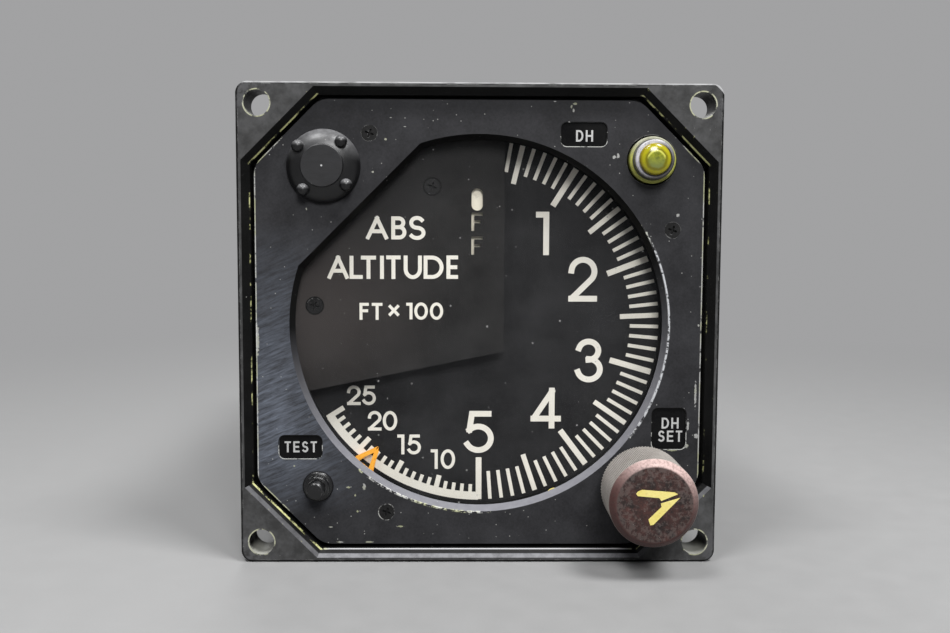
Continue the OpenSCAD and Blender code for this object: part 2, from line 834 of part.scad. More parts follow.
module knob_pinion() {
  color([0.75, 0.62, 0.3]) slab(y_ring - 0.2, y_ring_back + 0.2) place(knob_at) difference() {
    gear_outline(pinion_teeth, ring_module * pinion_teeth / 2, ring_module * 0.95, ring_module * 1.1,
      tooth_slack, knob_dir + 180);
    circle(knob_shaft_r + fixed_fit);
  }
}

module knob_bushing() {
  color([0.7, 0.7, 0.7]) turned(knob_at) polygon([
    [knob_shaft_r + running, y_panel - 1.4], [knob_bush_r - 0.2, y_panel - 1.4], [knob_bush_r, y_panel - 1.2],
    [knob_bush_r, y_web_back], [knob_bush_r + 0.8, y_web_back],
    [knob_bush_r + 0.8, y_web_back + 0.7], [knob_shaft_r + running, y_web_back + 0.7]
  ]);
}

module knob_nut() {
  color([0.6, 0.6, 0.6]) slab(y_panel - 1.2, y_panel) place(knob_at) difference() {
    circle(4.9, $fn = 6);
    circle(knob_bush_r + fixed_fit);
  }
}

module dh_pot() {
  color([0.22, 0.26, 0.36]) {
    difference() {
      rod(dh_pot_r, y_plate_back, y_plate_back + 12, knob_at);
      rod(knob_shaft_r + running, y_plate_back - over, y_plate_back + 6.5, knob_at);
    }
    solder_lugs(knob_at, y_plate_back + 9, dh_pot_r);
  }
}

// Domed cap with a flat hub and four finger nubs, turning in the lamp holder's collar
module lamp_cap() {
  base = y_panel - 0.1;
  top = y_panel - cap_h;
  nub_reach = cap_r - 1.25;
  nub_turn = 51.4;
  color([0.12, 0.12, 0.13]) {
    difference() {
      union() {
        turned(cap_at) polygon([
          [0, top], [cap_hub_r, top], [cap_hub_r + 0.15, top + 0.35],
          [cap_hub_r + 0.9, top + 0.5], [cap_r - 0.9, top + 1.1], [cap_r - 0.3, top + 1.6], [cap_r, top + 2.1],
          [cap_r, base], [0, base]
        ]);
        rod(cap_neck_r, base, y_panel + 0.9, cap_at);
        for (turn = [0:90:270]) {
          nub = cap_at + polar(nub_reach, nub_turn + turn);
          translate([nub[0], top + 1.05, nub[1]]) sphere(nub_r);
        }
      }
      rod(bulb_r + 0.3, top + 0.9, y_panel + 1, cap_at);
    }
  }
}

module lamp_holder() {
  color([0.3, 0.3, 0.31]) turned(cap_at) polygon([
    [cap_neck_r + running, y_panel + 0.1], [lamp_collar_r, y_panel + 0.1], [lamp_collar_r, y_web],
    [lamp_tube_r, y_web], [lamp_tube_r, y_plate_back + 4], [0, y_plate_back + 4], [0, y_web + 2],
    [lamp_bore_r, y_web + 2], [lamp_bore_r, y_panel + 1.2], [cap_neck_r + running, y_panel + 1.2]
  ]);
}

module lamp_bulb() {
  top = y_panel - cap_h + 1.2;
  color([0.9, 0.9, 0.85]) {
    rod(bulb_r, top + bulb_r, y_web, cap_at);
    translate([cap_at[0], top + bulb_r, cap_at[1]]) sphere(bulb_r);
    rod(lamp_bore_r - fixed_fit, y_web, y_web + 2, cap_at);
  }
}

// Stepped metal ring that holds the annunciator's lens
module dh_lamp_ring() {
  front = y_panel - lens_h + 1.1;
  step = y_panel - 1.2;
  neck_r = lamp_ring_r - 0.65;
  color([0.72, 0.72, 0.62]) turned(lamp_at) polygon([
    [lens_r + fixed_fit, front], [neck_r - 0.2, front], [neck_r, front + 0.2], [neck_r, step],
    [lamp_ring_r - 0.2, step], [lamp_ring_r, step + 0.2], [lamp_ring_r, y_web], [lens_r + fixed_fit, y_web]
  ]);
}

module dh_lens() {
  top = y_panel - lens_h;
  rim = top + 0.5;
  color([0.75, 0.78, 0.1, 0.8]) turned(lamp_at) polygon([
    [0, top], [lens_r * 0.4, top + 0.06], [lens_r * 0.75, top + 0.22], [lens_r - 0.1, rim],
    [lens_r, rim + 0.2], [lens_r, y_panel + 0.6],
    [bulb_r + 0.2, y_panel + 0.6], [bulb_r + 0.2, top + 2], [0, top + 2]
  ]);
}

module dh_lamp_housing() {
  color([0.3, 0.3, 0.31]) turned(lamp_at) polygon([
    [0, y_web + 2], [bulb_r + 0.3, y_web + 2], [bulb_r + 0.3, y_web], [lamp_body_r, y_web],
    [lamp_body_r, y_plate_back + 7], [0, y_plate_back + 7]
  ]);
}

module dh_bulb() {
  top = y_panel - lens_h + 2.4;
  color([0.9, 0.9, 0.85]) {
    rod(bulb_r, top + bulb_r, y_web + 2, lamp_at);
    translate([lamp_at[0], top + bulb_r, lamp_at[1]]) sphere(bulb_r);
  }
}

module test_button() {
  top = y_panel - button_h;
  color([0.08, 0.08, 0.08]) turned(button_at) polygon([
    [0, top], [button_r - 0.25, top], [button_r, top + 0.25], [button_r, y_web_back + 1], [0, y_web_back + 1]
  ]);
}

module test_bushing() {
  front = y_panel - button_h + button_travel + 0.3;
  color([0.1, 0.1, 0.1]) turned(button_at) polygon([
    [button_r + running, front], [button_r + 0.45, front], [button_r + 0.6, front + 0.15],
    [button_r + 0.6, y_panel - 0.7], [bushing_r - 0.2, y_panel - 0.7], [bushing_r, y_panel - 0.5],
    [bushing_r, y_panel], [bushing_body_r(), y_panel], [bushing_body_r(), y_web_back],
    [button_r + running, y_web_back]
  ]);
}

module test_switch() {
  back = y_plate_back + 8;
  color([0.2, 0.2, 0.22]) {
    difference() {
      slab(y_web_back, back) place(button_at) rotate(45) square(switch_w, center = true);
      rod(button_r + loose, y_web_back - over, y_web_back + button_travel + 1.4, button_at);
    }
    for (s = [-1, 1]) {
      translate([button_at[0] - 0.4 + s * 2, back - over, button_at[1] - 0.8]) cube([0.8, 4, 1.6]);
    }
  }
}

// Front movement plate, with bosses that the dial stands on
module movement_plate() {
  boss_r = 2.4;
  color([0.7, 0.71, 0.72]) difference() {
    union() {
      slab(y_plate, y_plate_back) polygon(octagon(well_half - 0.3, inset_cut(well_cut, 0.3)));
      for (at = concat(mask_screw_at, [dial_foot_at])) {
        rod(boss_r, y_dial_back, y_plate + over, at);
      }
    }
    slab(y_dial_back - over, y_plate_back + over) {
      circle(bearing_r);
      place(flag_at) circle(spindle_r + running);
      place(knob_at) circle(knob_shaft_r + running);
      place(cap_at) circle(lamp_tube_r + 0.4);
      place(lamp_at) circle(lamp_body_r + 0.4);
      place(button_at) rotate(45) square(switch_w + 0.8, center = true);
      for (at = mask_screw_at) place(at) circle(screw_r);
      four_ways([post_x, post_z]) circle(post_screw_r);
    }
  }
}

// Pan head screw pointing to the front, with a cross recess
module pan_screw(at, face, r, head_r, len) {
  head_t = head_r * 0.6;
  difference() {
    union() {
      rod(r - fixed_fit, face - len, face, at);
      rod(head_r, face, face + head_t * 0.6, at);
      taper(head_r, head_r * 0.75, face + head_t * 0.6, face + head_t, at);
    }
    for (turn = [0, 90]) {
      translate([at[0], face + head_t, at[1]]) rotate([0, turn, 0])
        cube([head_r * 1.1, head_t, head_r * 0.25], center = true);
    }
  }
}

module movement_screws() {
  color([0.6, 0.6, 0.6]) for (sx = [-1, 1], sz = [-1, 1]) {
    pan_screw([sx * post_x, sz * post_z], y_plate_back, post_screw_r, 1.6, plate_t + 1.5);
  }
}

module rear_plate() {
  half = well_half - 2;
  color([0.7, 0.71, 0.72]) difference() {
    slab(y_rear_plate, y_rear_plate_back) polygon(octagon(half, inset_cut(well_cut, 2)));
    slab(y_rear_plate - over, y_rear_plate_back + over) {
      circle(bearing_r);
      place(motor_at) circle(3.5 + fixed_fit);
      four_ways([rod_at, rod_at]) circle(rod_r + fixed_fit);
    }
  }
}

module plate_pillars() {
  color([0.75, 0.75, 0.76]) for (sx = [-1, 1], sz = [-1, 1]) {
    rod(pillar_r, y_plate_back, y_rear_plate, [sx * pillar_at[0], sz * pillar_at[1]]);
  }
}

// Places children at the case's front screws, with the axis running inwards along Y
module case_screw_places() {
  for (side = [0:90:270], s = [-1, 1]) {
    rotate([0, side, 0]) translate([s * case_screw_at, spigot_len / 2, case_half])
      rotate([-90, 0, 0]) children();
  }
}

module case() {
  inner_r = case_bend - case_wall;
  color([0.12, 0.12, 0.13]) difference() {
    slab(-case_rebate, case_len) difference() {
      round_octagon(case_half, case_cut, case_bend);
      round_octagon(case_half - case_wall, inset_cut(case_cut, case_wall), max(0.2, inner_r));
    }
    case_screw_places() {
      taper(case_screw_head_r, case_screw_r, 0, case_wall * 0.75);
      rod(case_screw_head_r, -over, 0);
      rod(case_screw_r, 0, case_wall + over);
    }
  }
}

module case_screws() {
  color([0.15, 0.15, 0.15]) case_screw_places() difference() {
    union() {
      taper(case_screw_head_r - fixed_fit, case_screw_r - fixed_fit, 0, case_wall * 0.75);
      rod(case_screw_r - fixed_fit, 0, spigot_inset + spigot_wall);
    }
    for (turn = [0, 90]) {
      rotate([0, turn, 0]) cube([case_screw_head_r * 1.1, 0.8, 0.45], center = true);
    }
  }
}

module chassis_rods() {
  color([0.75, 0.75, 0.76]) for (sx = [-1, 1], sz = [-1, 1]) {
    difference() {
      rod(rod_r, y_rear_plate, case_len, [sx * rod_at, sz * rod_at]);
      rod(rod_r / 2, case_len - 8, case_len + over, [sx * rod_at, sz * rod_at]);
    }
  }
}

module board_spacers() {
  stops = [
    [y_rear_plate_back, first_board], [first_board + board_t, second_board], [second_board + board_t, case_len]
  ];
  color([0.6, 0.6, 0.62]) for (sx = [-1, 1], sz = [-1, 1], stop = stops) {
    tube(rod_r + 1.2, rod_r + fixed_fit, stop[0], stop[1], [sx * rod_at, sz * rod_at]);
  }
}

module board_blank(y0) {
  slab(y0, y0 + board_t) difference() {
    polygon(octagon(board_half, board_cut));
    four_ways([rod_at, rod_at]) circle(rod_r + fixed_fit);
  }
}

module chip(at, y0, size) {
  translate([at[0] - size[0] / 2, y0 - over, at[1] - size[2] / 2]) cube([size[0], size[1] + over, size[2]]);
}

module servo_board() {
  back = first_board + board_t;
  color([0.15, 0.35, 0.2]) {
    board_blank(first_board);
    for (x = [-14, 0, 14]) {
      chip([x, 14], back, [6.4, 3.6, 19]);
    }
    for (x = [-18:9:18]) {
      rod(3.2, back - over, back + 11, [x, -14]);
    }
  }
}

module signal_board() {
  back = second_board + board_t;
  color([0.15, 0.35, 0.2]) {
    board_blank(second_board);
    for (x = [-12, 12], z = [-16, 16]) {
      chip([x, z], back, [19, 3.6, 6.4]);
    }
    chip([0, 0], back, [16, 9, 14]);
  }
}

// Rear cover, with a lip that locates inside the case
module rear_cover() {
  lip = 2;
  lip_inset = case_wall + loose;
  color([0.13, 0.13, 0.14]) difference() {
    union() {
      slab(case_len, y_cover_back) round_octagon(case_half, case_cut, case_bend);
      slab(case_len - lip, case_len + over) difference() {
        round_octagon(case_half - lip_inset, inset_cut(case_cut, lip_inset), case_bend);
        round_octagon(case_half - lip_inset - lip, inset_cut(case_cut, lip_inset + lip), case_bend);
      }
    }
    slab(case_len - over, y_cover_back + over) {
      circle(shell_seat_r);
      four_ways([rod_at, rod_at]) circle(rod_r / 2 + loose);
      four_ways([flange_hole, flange_hole]) circle(screw_r);
    }
  }
}

module cover_screws() {
  color([0.55, 0.55, 0.56]) for (sx = [-1, 1], sz = [-1, 1]) {
    pan_screw([sx * rod_at, sz * rod_at], y_cover_back, rod_r / 2, cover_screw_head_r, cover_t + 6);
  }
}

module connector_shell() {
  color([0.55, 0.56, 0.5]) difference() {
    union() {
      slab(y_cover_back, y_flange_back) rounded_rect([flange_w, flange_w], 3);
      rod(shell_r, y_cover_back, y_shell_back - 0.5);
      taper(shell_r, shell_r - 0.5, y_shell_back - 0.5, y_shell_back);
      rod(shell_seat_r - loose, y_cover_back - cover_t - 3, y_cover_back);
    }
    rod(shell_bore_r, y_cover_back - cover_t - 3 - over, y_shell_back + over);
    slab(y_cover_back - over, y_flange_back + over) four_ways([flange_hole, flange_hole]) circle(screw_r);
  }
}

module connector_insert() {
  color([0.15, 0.15, 0.16]) difference() {
    rod(shell_bore_r - fixed_fit, y_cover_back - cover_t - 3, y_flange_back + 3);
    connector_pin_places() rod(pin_r + fixed_fit, y_cover_back - cover_t - 3 - over, y_flange_back + 3 + over);
  }
}

module connector_pin_places() {
  for (turn = [0:36:324]) {
    rotate([0, turn, 0]) translate([pin_ring_r, 0, 0]) children();
  }
  for (turn = [0:90:270]) {
    rotate([0, turn, 0]) translate([pin_ring_r * 0.42, 0, 0]) children();
  }
}

module connector_pins() {
  tip = y_flange_back + 8;
  color([0.8, 0.65, 0.3]) connector_pin_places() {
    rod(pin_r, y_cover_back - cover_t - 7, tip - pin_r, [0, 0]);
    translate([0, tip - pin_r, 0]) sphere(pin_r);
  }
}

module connector_screws() {
  color([0.55, 0.55, 0.56]) for (sx = [-1, 1], sz = [-1, 1]) {
    pan_screw([sx * flange_hole, sz * flange_hole], y_flange_back, screw_r, 1.5, 2.4 + cover_t);
  }
}

bezel();
front_panel();
panel_screws();
window_glass();
window_gasket();
mask();
mask_spacers();
mask_screws();
dial_plate();
bug_ring();
dh_bug();
pointer();
pointer_shaft();
pointer_gear();
shaft_bearings();
servo_motor();
motor_pinion();
feedback_pot();
flag();
flag_spindle();
flag_actuator();
knob();
knob_shaft();
knob_pinion();
knob_bushing();
knob_nut();
dh_pot();
lamp_cap();
lamp_holder();
lamp_bulb();
dh_lamp_ring();
dh_lens();
dh_lamp_housing();
dh_bulb();
test_button();
test_bushing();
test_switch();
movement_plate();
movement_screws();
rear_plate();
plate_pillars();
case();
case_screws();
chassis_rods();
board_spacers();
servo_board();
signal_board();
rear_cover();
cover_screws();
connector_shell();
connector_insert();
connector_pins();
connector_screws();
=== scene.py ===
import json
import math

import bmesh
import bpy
from mathutils import Matrix, Vector


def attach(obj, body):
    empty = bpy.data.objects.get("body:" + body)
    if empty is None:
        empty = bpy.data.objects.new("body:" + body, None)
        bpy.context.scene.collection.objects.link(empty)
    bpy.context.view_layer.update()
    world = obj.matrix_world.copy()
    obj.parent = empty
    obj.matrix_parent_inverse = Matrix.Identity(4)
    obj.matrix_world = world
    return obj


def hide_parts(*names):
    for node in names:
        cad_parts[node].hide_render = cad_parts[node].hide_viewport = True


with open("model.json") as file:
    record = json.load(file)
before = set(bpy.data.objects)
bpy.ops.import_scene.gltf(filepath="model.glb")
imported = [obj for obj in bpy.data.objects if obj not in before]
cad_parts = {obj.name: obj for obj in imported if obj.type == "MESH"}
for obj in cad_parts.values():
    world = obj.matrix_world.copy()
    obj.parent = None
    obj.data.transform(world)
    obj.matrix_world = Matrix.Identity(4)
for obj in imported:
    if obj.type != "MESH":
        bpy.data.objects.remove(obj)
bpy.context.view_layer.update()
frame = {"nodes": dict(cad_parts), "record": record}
nodes = frame["nodes"]

# Sizes are in millimetres, in the row frame, as on the construction
MM = 0.001
PANEL_Y = -5.0
LEGEND_FLOOR_Y = -4.7
MASK_Y = -1.2
FLAG_Y = -0.25
RING_Y = 1.1
DIAL_Y = 1.5

HOLE_AT = 37.8
HOLE_R = 2.2
POCKET_HALF = 39.3
POCKET_CUT = 11.64
BEVEL_W = 1.3
PANEL_HALF = 38.7
PANEL_CUT = 11.29
APERTURE_R = 32.95
SCALE_R = 32.5

# Places across and up
KNOB = (28.4983, -28.0052)
CAP = (-26.8308, 27.3032)
LAMP = (29.5142, 28.6013)
BUTTON = (-28.1713, -28.3686)
MASK_SCREWS = ((-8.30, 24.11), (-29.03, 3.10))
LOW_SCREW = (-16.17, -33.0)
FLAG_VANE = (-0.4, 18.08)

KNOB_FRONT_Y = -19.2
KNOB_BACK_Y = -7.2
KNOB_R = 7.4
KNURL_TEETH = 88
KNURL_DEPTH = 0.3

# Scale of the dial: turn at zero feet, and degrees to 100 feet below and above 500 feet
ZERO_DEG = -4.7
LOW_SCALE_DEG = 36.9
HIGH_SCALE_DEG = 2.88

# Printed figures and words: widths of the strokes, how far they stand proud, and their thickness
LARGE_STROKE = 1.04
SMALL_STROKE = 0.56
TITLE_STROKE = 0.68
UNITS_STROKE = 0.52
LEGEND_STROKE = 0.31
LEGEND_GAP = 0.42
PRINT_RISE = 0.03
PRINT_THICK = 0.05
LAYER_STEP = 0.006

# Chips and scuffs of the panel: place across and up, and half sizes
PANEL_CHIPS = [
    (16.2, 38.1, 0.34, 0.18), (15.6, 37.6, 0.16, 0.34), (15.95, 37.0, 0.16, 0.3),
    (23.0, 29.1, 0.26, 0.3), (23.7, 29.3, 0.22, 0.4), (12.8, 38.5, 0.22, 0.1),
    (-22.9, -28.6, 0.35, 0.15), (-21.7, -30.0, 0.16, 0.2), (-21.3, -32.9, 0.2, 0.16),
    (-32.3, -24.8, 0.14, 0.14), (-20.1, -28.5, 0.3, 0.5), (-26.0, -35.7, 0.4, 0.12),
    (-13.8, -35.6, 0.55, 0.14), (-24.4, -38.4, 0.6, 0.14), (-19.3, -38.4, 0.7, 0.14),
    (36.7, -17.6, 0.2, 0.8), (38.2, -19.4, 0.45, 0.35), (36.3, -21.2, 0.5, 0.4),
    (33.9, -21.95, 0.8, 0.16), (34.2, 19.2, 0.3, 0.25), (38.2, 0.1, 0.16, 0.2),
    (-16.2, 32.0, 0.22, 0.22), (-18.4, 26.4, 0.16, 0.16), (-15.3, 35.6, 0.2, 0.08),
    (-12.9, 34.1, 0.22, 0.08), (-29.8, 20.0, 0.12, 0.24), (-38.5, -2.6, 0.3, 2.6),
    (37.9, -12.0, 0.18, 2.2),
]

# Legend windows: place, size, and lines of words with their place and size
LEGENDS = {
    "dh_lamp": ((17.8121, 32.9428), (7.9, 4.1), [("DH", 17.91, 32.71, 2.93, 1.95)]),
    "test": ((-31.1932, -21.4385), (7.5, 4.1), [("TEST", -31.19, -21.44, 5.64, 1.94)]),
    "dh_set": (
        (33.3511, -18.1082),
        (6.0, 7.3),
        [("DH", 33.61, -17.15, 2.98, 1.92), ("SET", 33.66, -19.47, 4.25, 1.98)],
    ),
}


# Node trees


def join(tree, socket, value):
    if isinstance(value, bpy.types.NodeSocket):
        tree.links.new(value, socket)
    elif isinstance(value, tuple) and len(value) == 3 and socket.type == "RGBA":
        socket.default_value = (*value, 1.0)
    else:
        socket.default_value = value


def add(tree, kind, values=None, **settings):
    made = tree.nodes.new(kind)
    for key, value in settings.items():
        setattr(made, key, value)
    for key, value in (values or {}).items():
        join(tree, made.inputs[key], value)
    return made


def calc(tree, operation, *terms, clamp=False):
    made = add(tree, "ShaderNodeMath", operation=operation, use_clamp=clamp)
    for socket, term in zip(made.inputs, terms):
        join(tree, socket, term)
    return made.outputs[0]


def times(tree, *terms):
    result = terms[0]
    for term in terms[1:]:
        result = calc(tree, "MULTIPLY", result, term)
    return result


def most(tree, *terms):
    result = terms[0]
    for term in terms[1:]:
        result = calc(tree, "MAXIMUM", result, term)
    return result


def plus(tree, first, second):
    return calc(tree, "ADD", first, second)


def minus(tree, first, second):
    return calc(tree, "SUBTRACT", first, second)


def magnitude(tree, value):
    return calc(tree, "ABSOLUTE", value)


def span(tree, value, low, high, to_low=0.0, to_high=1.0):
    terms = {0: value, 1: low, 2: high, 3: to_low, 4: to_high}
    return add(tree, "ShaderNodeMapRange", terms, clamp=True).outputs[0]


def tint(tree, share, first, second):
    made = add(tree, "ShaderNodeMix", data_type="RGBA")
    join(tree, made.inputs[0], share)
    join(tree, made.inputs[6], first)
    join(tree, made.inputs[7], second)
    return made.outputs[2]


def over(tree, colour, mask, share, paint):
    return tint(tree, times(tree, mask, share), colour, paint)


def noise(tree, place, scale, detail=3.0, rough=0.55):
    terms = {"Vector": place, "Scale": scale, "Detail": detail, "Roughness": rough}
    return add(tree, "ShaderNodeTexNoise", terms).outputs["Fac"]


def scaled(tree, place, factor):
    made = add(tree, "ShaderNodeVectorMath", operation="MULTIPLY")
    join(tree, made.inputs[0], place)
    join(tree, made.inputs[1], factor)
    return made.outputs[0]


def moved(tree, place, offset):
    made = add(tree, "ShaderNodeVectorMath", operation="SUBTRACT")
    join(tree, made.inputs[0], place)
    join(tree, made.inputs[1], offset)
    return made.outputs[0]


def split(tree, place):
    return add(tree, "ShaderNodeSeparateXYZ", {0: place}).outputs


def length(tree, place):
    return add(tree, "ShaderNodeVectorMath", {0: place}, operation="LENGTH").outputs["Value"]


def flattened(tree, place):
    return scaled(tree, place, (1.0, 0.0, 1.0))


def around(tree, place, centre):
    local = moved(tree, place, (centre[0], 0.0, centre[1]))
    return local, length(tree, flattened(tree, local))


def normal_axes(tree):
    return split(tree, add(tree, "ShaderNodeNewGeometry").outputs["Normal"])


def group(name, inputs, outputs):
    tree = bpy.data.node_groups.new(name, "ShaderNodeTree")
    for label, kind in inputs:
        tree.interface.new_socket(name=label, in_out="INPUT", socket_type=kind)
    for label, kind in outputs:
        tree.interface.new_socket(name=label, in_out="OUTPUT", socket_type=kind)
    return tree, tree.nodes.new("NodeGroupInput").outputs, tree.nodes.new("NodeGroupOutput").inputs


NUMBER = "NodeSocketFloat"
PLACE = "NodeSocketVector"
COLOUR = "NodeSocketColor"


def make_place_group():
    tree, _, result = group("place_in_mm", [], [("Place", PLACE)])
    coords = add(tree, "ShaderNodeTexCoord").outputs["Object"]
    join(tree, result["Place"], scaled(tree, coords, (1000.0, 1000.0, 1000.0)))
    return tree


def make_rub_group():
    inputs = [("Place", PLACE), ("Reach", NUMBER), ("Break", NUMBER), ("Share", NUMBER)]
    tree, given, result = group("rubbed_edges", inputs, [("Mask", NUMBER)])
    rounded = add(tree, "ShaderNodeBevel", {"Radius": given["Reach"]}, samples=4).outputs[0]
    plain = add(tree, "ShaderNodeNewGeometry").outputs["Normal"]
    turn = add(tree, "ShaderNodeVectorMath", {0: rounded, 1: plain}, operation="DOT_PRODUCT")
    bend = minus(tree, 1.0, turn.outputs["Value"])
    edge = span(tree, bend, 0.03, 0.16)
    cloud = noise(tree, given["Place"], given["Break"], 4.0, 0.62)
    least = minus(tree, 0.72, times(tree, given["Share"], 0.44))
    chips = span(tree, minus(tree, cloud, least), 0.0, 0.08)
    join(tree, result["Mask"], times(tree, edge, chips))
    return tree


def make_speck_group():
    inputs = [("Place", PLACE), ("Cells", NUMBER), ("Share", NUMBER), ("Size", NUMBER)]
    tree, given, result = group("dust_specks", inputs, [("Mask", NUMBER)])
    cells = add(tree, "ShaderNodeTexVoronoi", {"Vector": given["Place"], "Scale": given["Cells"]})
    pick = split(tree, cells.outputs["Color"])
    chosen = calc(tree, "GREATER_THAN", pick[0], minus(tree, 1.0, given["Share"]))
    reach = times(tree, given["Size"], plus(tree, 0.35, pick[1]))
    near = calc(tree, "SUBTRACT", 1.0, calc(tree, "DIVIDE", cells.outputs["Distance"], reach), clamp=True)
    join(tree, result["Mask"], times(tree, chosen, span(tree, near, 0.1, 0.6)))
    return tree


def make_hairline_group():
    inputs = [("Place", PLACE), ("Stretch", PLACE), ("Share", NUMBER)]
    tree, given, result = group("hairlines", inputs, [("Mask", NUMBER)])
    drawn = scaled(tree, given["Place"], given["Stretch"])
    lines = noise(tree, drawn, 1.0, 6.0, 0.75)
    cloud = noise(tree, given["Place"], 0.12, 2.0)
    least = minus(tree, 0.8, times(tree, given["Share"], 0.4))
    thin = span(tree, minus(tree, lines, least), 0.0, 0.1)
    join(tree, result["Mask"], times(tree, thin, span(tree, cloud, 0.35, 0.6)))
    return tree


def make_skin_group():
    inputs = [("Place", PLACE), ("Colour", COLOUR), ("Shade", COLOUR), ("Rough", NUMBER), ("Grain", NUMBER)]
    outputs = [("Colour", COLOUR), ("Rough", NUMBER), ("Normal", PLACE)]
    tree, given, result = group("paint_skin", inputs, outputs)
    cloud = noise(tree, given["Place"], 0.16, 4.0, 0.6)
    fine = noise(tree, given["Place"], 3.1, 3.0, 0.6)
    mottle = plus(tree, times(tree, cloud, 0.65), times(tree, fine, 0.35))
    colour = tint(tree, span(tree, mottle, 0.36, 0.64), given["Colour"], given["Shade"])
    join(tree, result["Colour"], colour)
    join(tree, result["Rough"], plus(tree, given["Rough"], span(tree, cloud, 0.3, 0.7, -0.06, 0.06)))
    grain = noise(tree, given["Place"], 9.0, 2.0, 0.5)
    bump = {"Height": grain, "Strength": given["Grain"], "Distance": 0.00004}
    join(tree, result["Normal"], add(tree, "ShaderNodeBump", bump).outputs[0])
    return tree


# Pale where a surface faces up: settled dust, and painted light where it faces the lamps above
def make_dust_and_light_up_group():
    inputs = [("Place", PLACE), ("Least", NUMBER), ("Most", NUMBER)]
    tree, given, result = group("upward_dust_and_light", inputs, [("Mask", NUMBER)])
    upward = span(tree, normal_axes(tree)[2], given["Least"], given["Most"])
    thick = span(tree, noise(tree, given["Place"], 0.7, 5.0, 0.65), 0.3, 0.6, 0.55, 1.0)
    join(tree, result["Mask"], times(tree, upward, thick))
    return tree


def make_octagon_group():
    inputs = [("Place", PLACE), ("Half", NUMBER), ("Cut", NUMBER)]
    tree, given, result = group("octagon_reach", inputs, [("Reach", NUMBER)])
    axes = split(tree, given["Place"])
    across = magnitude(tree, axes[0])
    upward = magnitude(tree, axes[2])
    sides = minus(tree, most(tree, across, upward), given["Half"])
    corner = minus(tree, times(tree, given["Half"], 2.0), given["Cut"])
    slant = minus(tree, plus(tree, across, upward), corner)
    slant = times(tree, slant, math.sqrt(0.5))
    join(tree, result["Reach"], most(tree, sides, slant))
    return tree


def make_patch_group():
    inputs = [("Place", PLACE), ("Scale", NUMBER), ("Share", NUMBER)]
    tree, given, result = group("worn_patches", inputs, [("Mask", NUMBER)])
    cloud = noise(tree, given["Place"], given["Scale"], 5.0, 0.68)
    least = minus(tree, 0.74, times(tree, given["Share"], 0.46))
    join(tree, result["Mask"], span(tree, minus(tree, cloud, least), 0.0, 0.07))
    return tree


def make_chip_group():
    inputs = [("Place", PLACE), ("Centre", PLACE), ("Size", PLACE)]
    tree, given, result = group("paint_chip", inputs, [("Mask", NUMBER)])
    shape = scaled(tree, moved(tree, given["Place"], given["Centre"]), given["Size"])
    reach = length(tree, shape)
    ragged = minus(tree, noise(tree, given["Place"], 2.6, 3.0, 0.6), 0.5)
    edge = plus(tree, reach, times(tree, ragged, 2.4))
    join(tree, result["Mask"], span(tree, edge, 1.1, 0.8))
    return tree


PLACE_GROUP = make_place_group()
RUB_GROUP = make_rub_group()
SPECK_GROUP = make_speck_group()
HAIRLINE_GROUP = make_hairline_group()
SKIN_GROUP = make_skin_group()
DUST_AND_LIGHT_UP_GROUP = make_dust_and_light_up_group()
OCTAGON_GROUP = make_octagon_group()
PATCH_GROUP = make_patch_group()
CHIP_GROUP = make_chip_group()


def use(tree, shared, values=None):
    made = tree.nodes.new("ShaderNodeGroup")
    made.node_tree = shared
    for key, value in (values or {}).items():
        join(tree, made.inputs[key], value)
    return made.outputs


def place_of(tree):
    return use(tree, PLACE_GROUP)["Place"]


def rubbed(tree, place, reach, breaks, share):
    values = {"Place": place, "Reach": reach * MM, "Break": breaks, "Share": share}
    return use(tree, RUB_GROUP, values)["Mask"]


def specks(tree, place, cells, share, size):
    return use(tree, SPECK_GROUP, {"Place": place, "Cells": cells, "Share": share, "Size": size})["Mask"]


def hairlines(tree, place, stretch, share):
    return use(tree, HAIRLINE_GROUP, {"Place": place, "Stretch": stretch, "Share": share})["Mask"]


def dust_and_light_up(tree, place, least, full):
    return use(tree, DUST_AND_LIGHT_UP_GROUP, {"Place": place, "Least": least, "Most": full})["Mask"]


def octagon(tree, place, half, cut):
    return use(tree, OCTAGON_GROUP, {"Place": place, "Half": half, "Cut": cut})["Reach"]


def patches(tree, place, scale, share):
    return use(tree, PATCH_GROUP, {"Place": place, "Scale": scale, "Share": share})["Mask"]


def chip(tree, place, x, z, wide, high):
    values = {"Place": place, "Centre": (x, PANEL_Y, z), "Size": (1.0 / wide, 2.0, 1.0 / high)}
    return use(tree, CHIP_GROUP, values)["Mask"]


def skin(tree, place, colour, shade, rough, grain=0.25):
    values = {"Place": place, "Colour": colour, "Shade": shade, "Rough": rough, "Grain": grain}
    return use(tree, SKIN_GROUP, values)


def surface_of(name):
    made = bpy.data.materials.new(name)
    made.use_nodes = True
    tree = made.node_tree
    tree.nodes.clear()
    out = tree.nodes.new("ShaderNodeOutputMaterial")
    surface = tree.nodes.new("ShaderNodeBsdfPrincipled")
    tree.links.new(surface.outputs[0], out.inputs[0])
    return made, tree, surface.inputs


def finish_skin(tree, surface, colour, rough, normal):
    join(tree, surface["Base Color"], colour)
    join(tree, surface["Roughness"], rough)
    join(tree, surface["Normal"], normal)


# Finishes of the outside


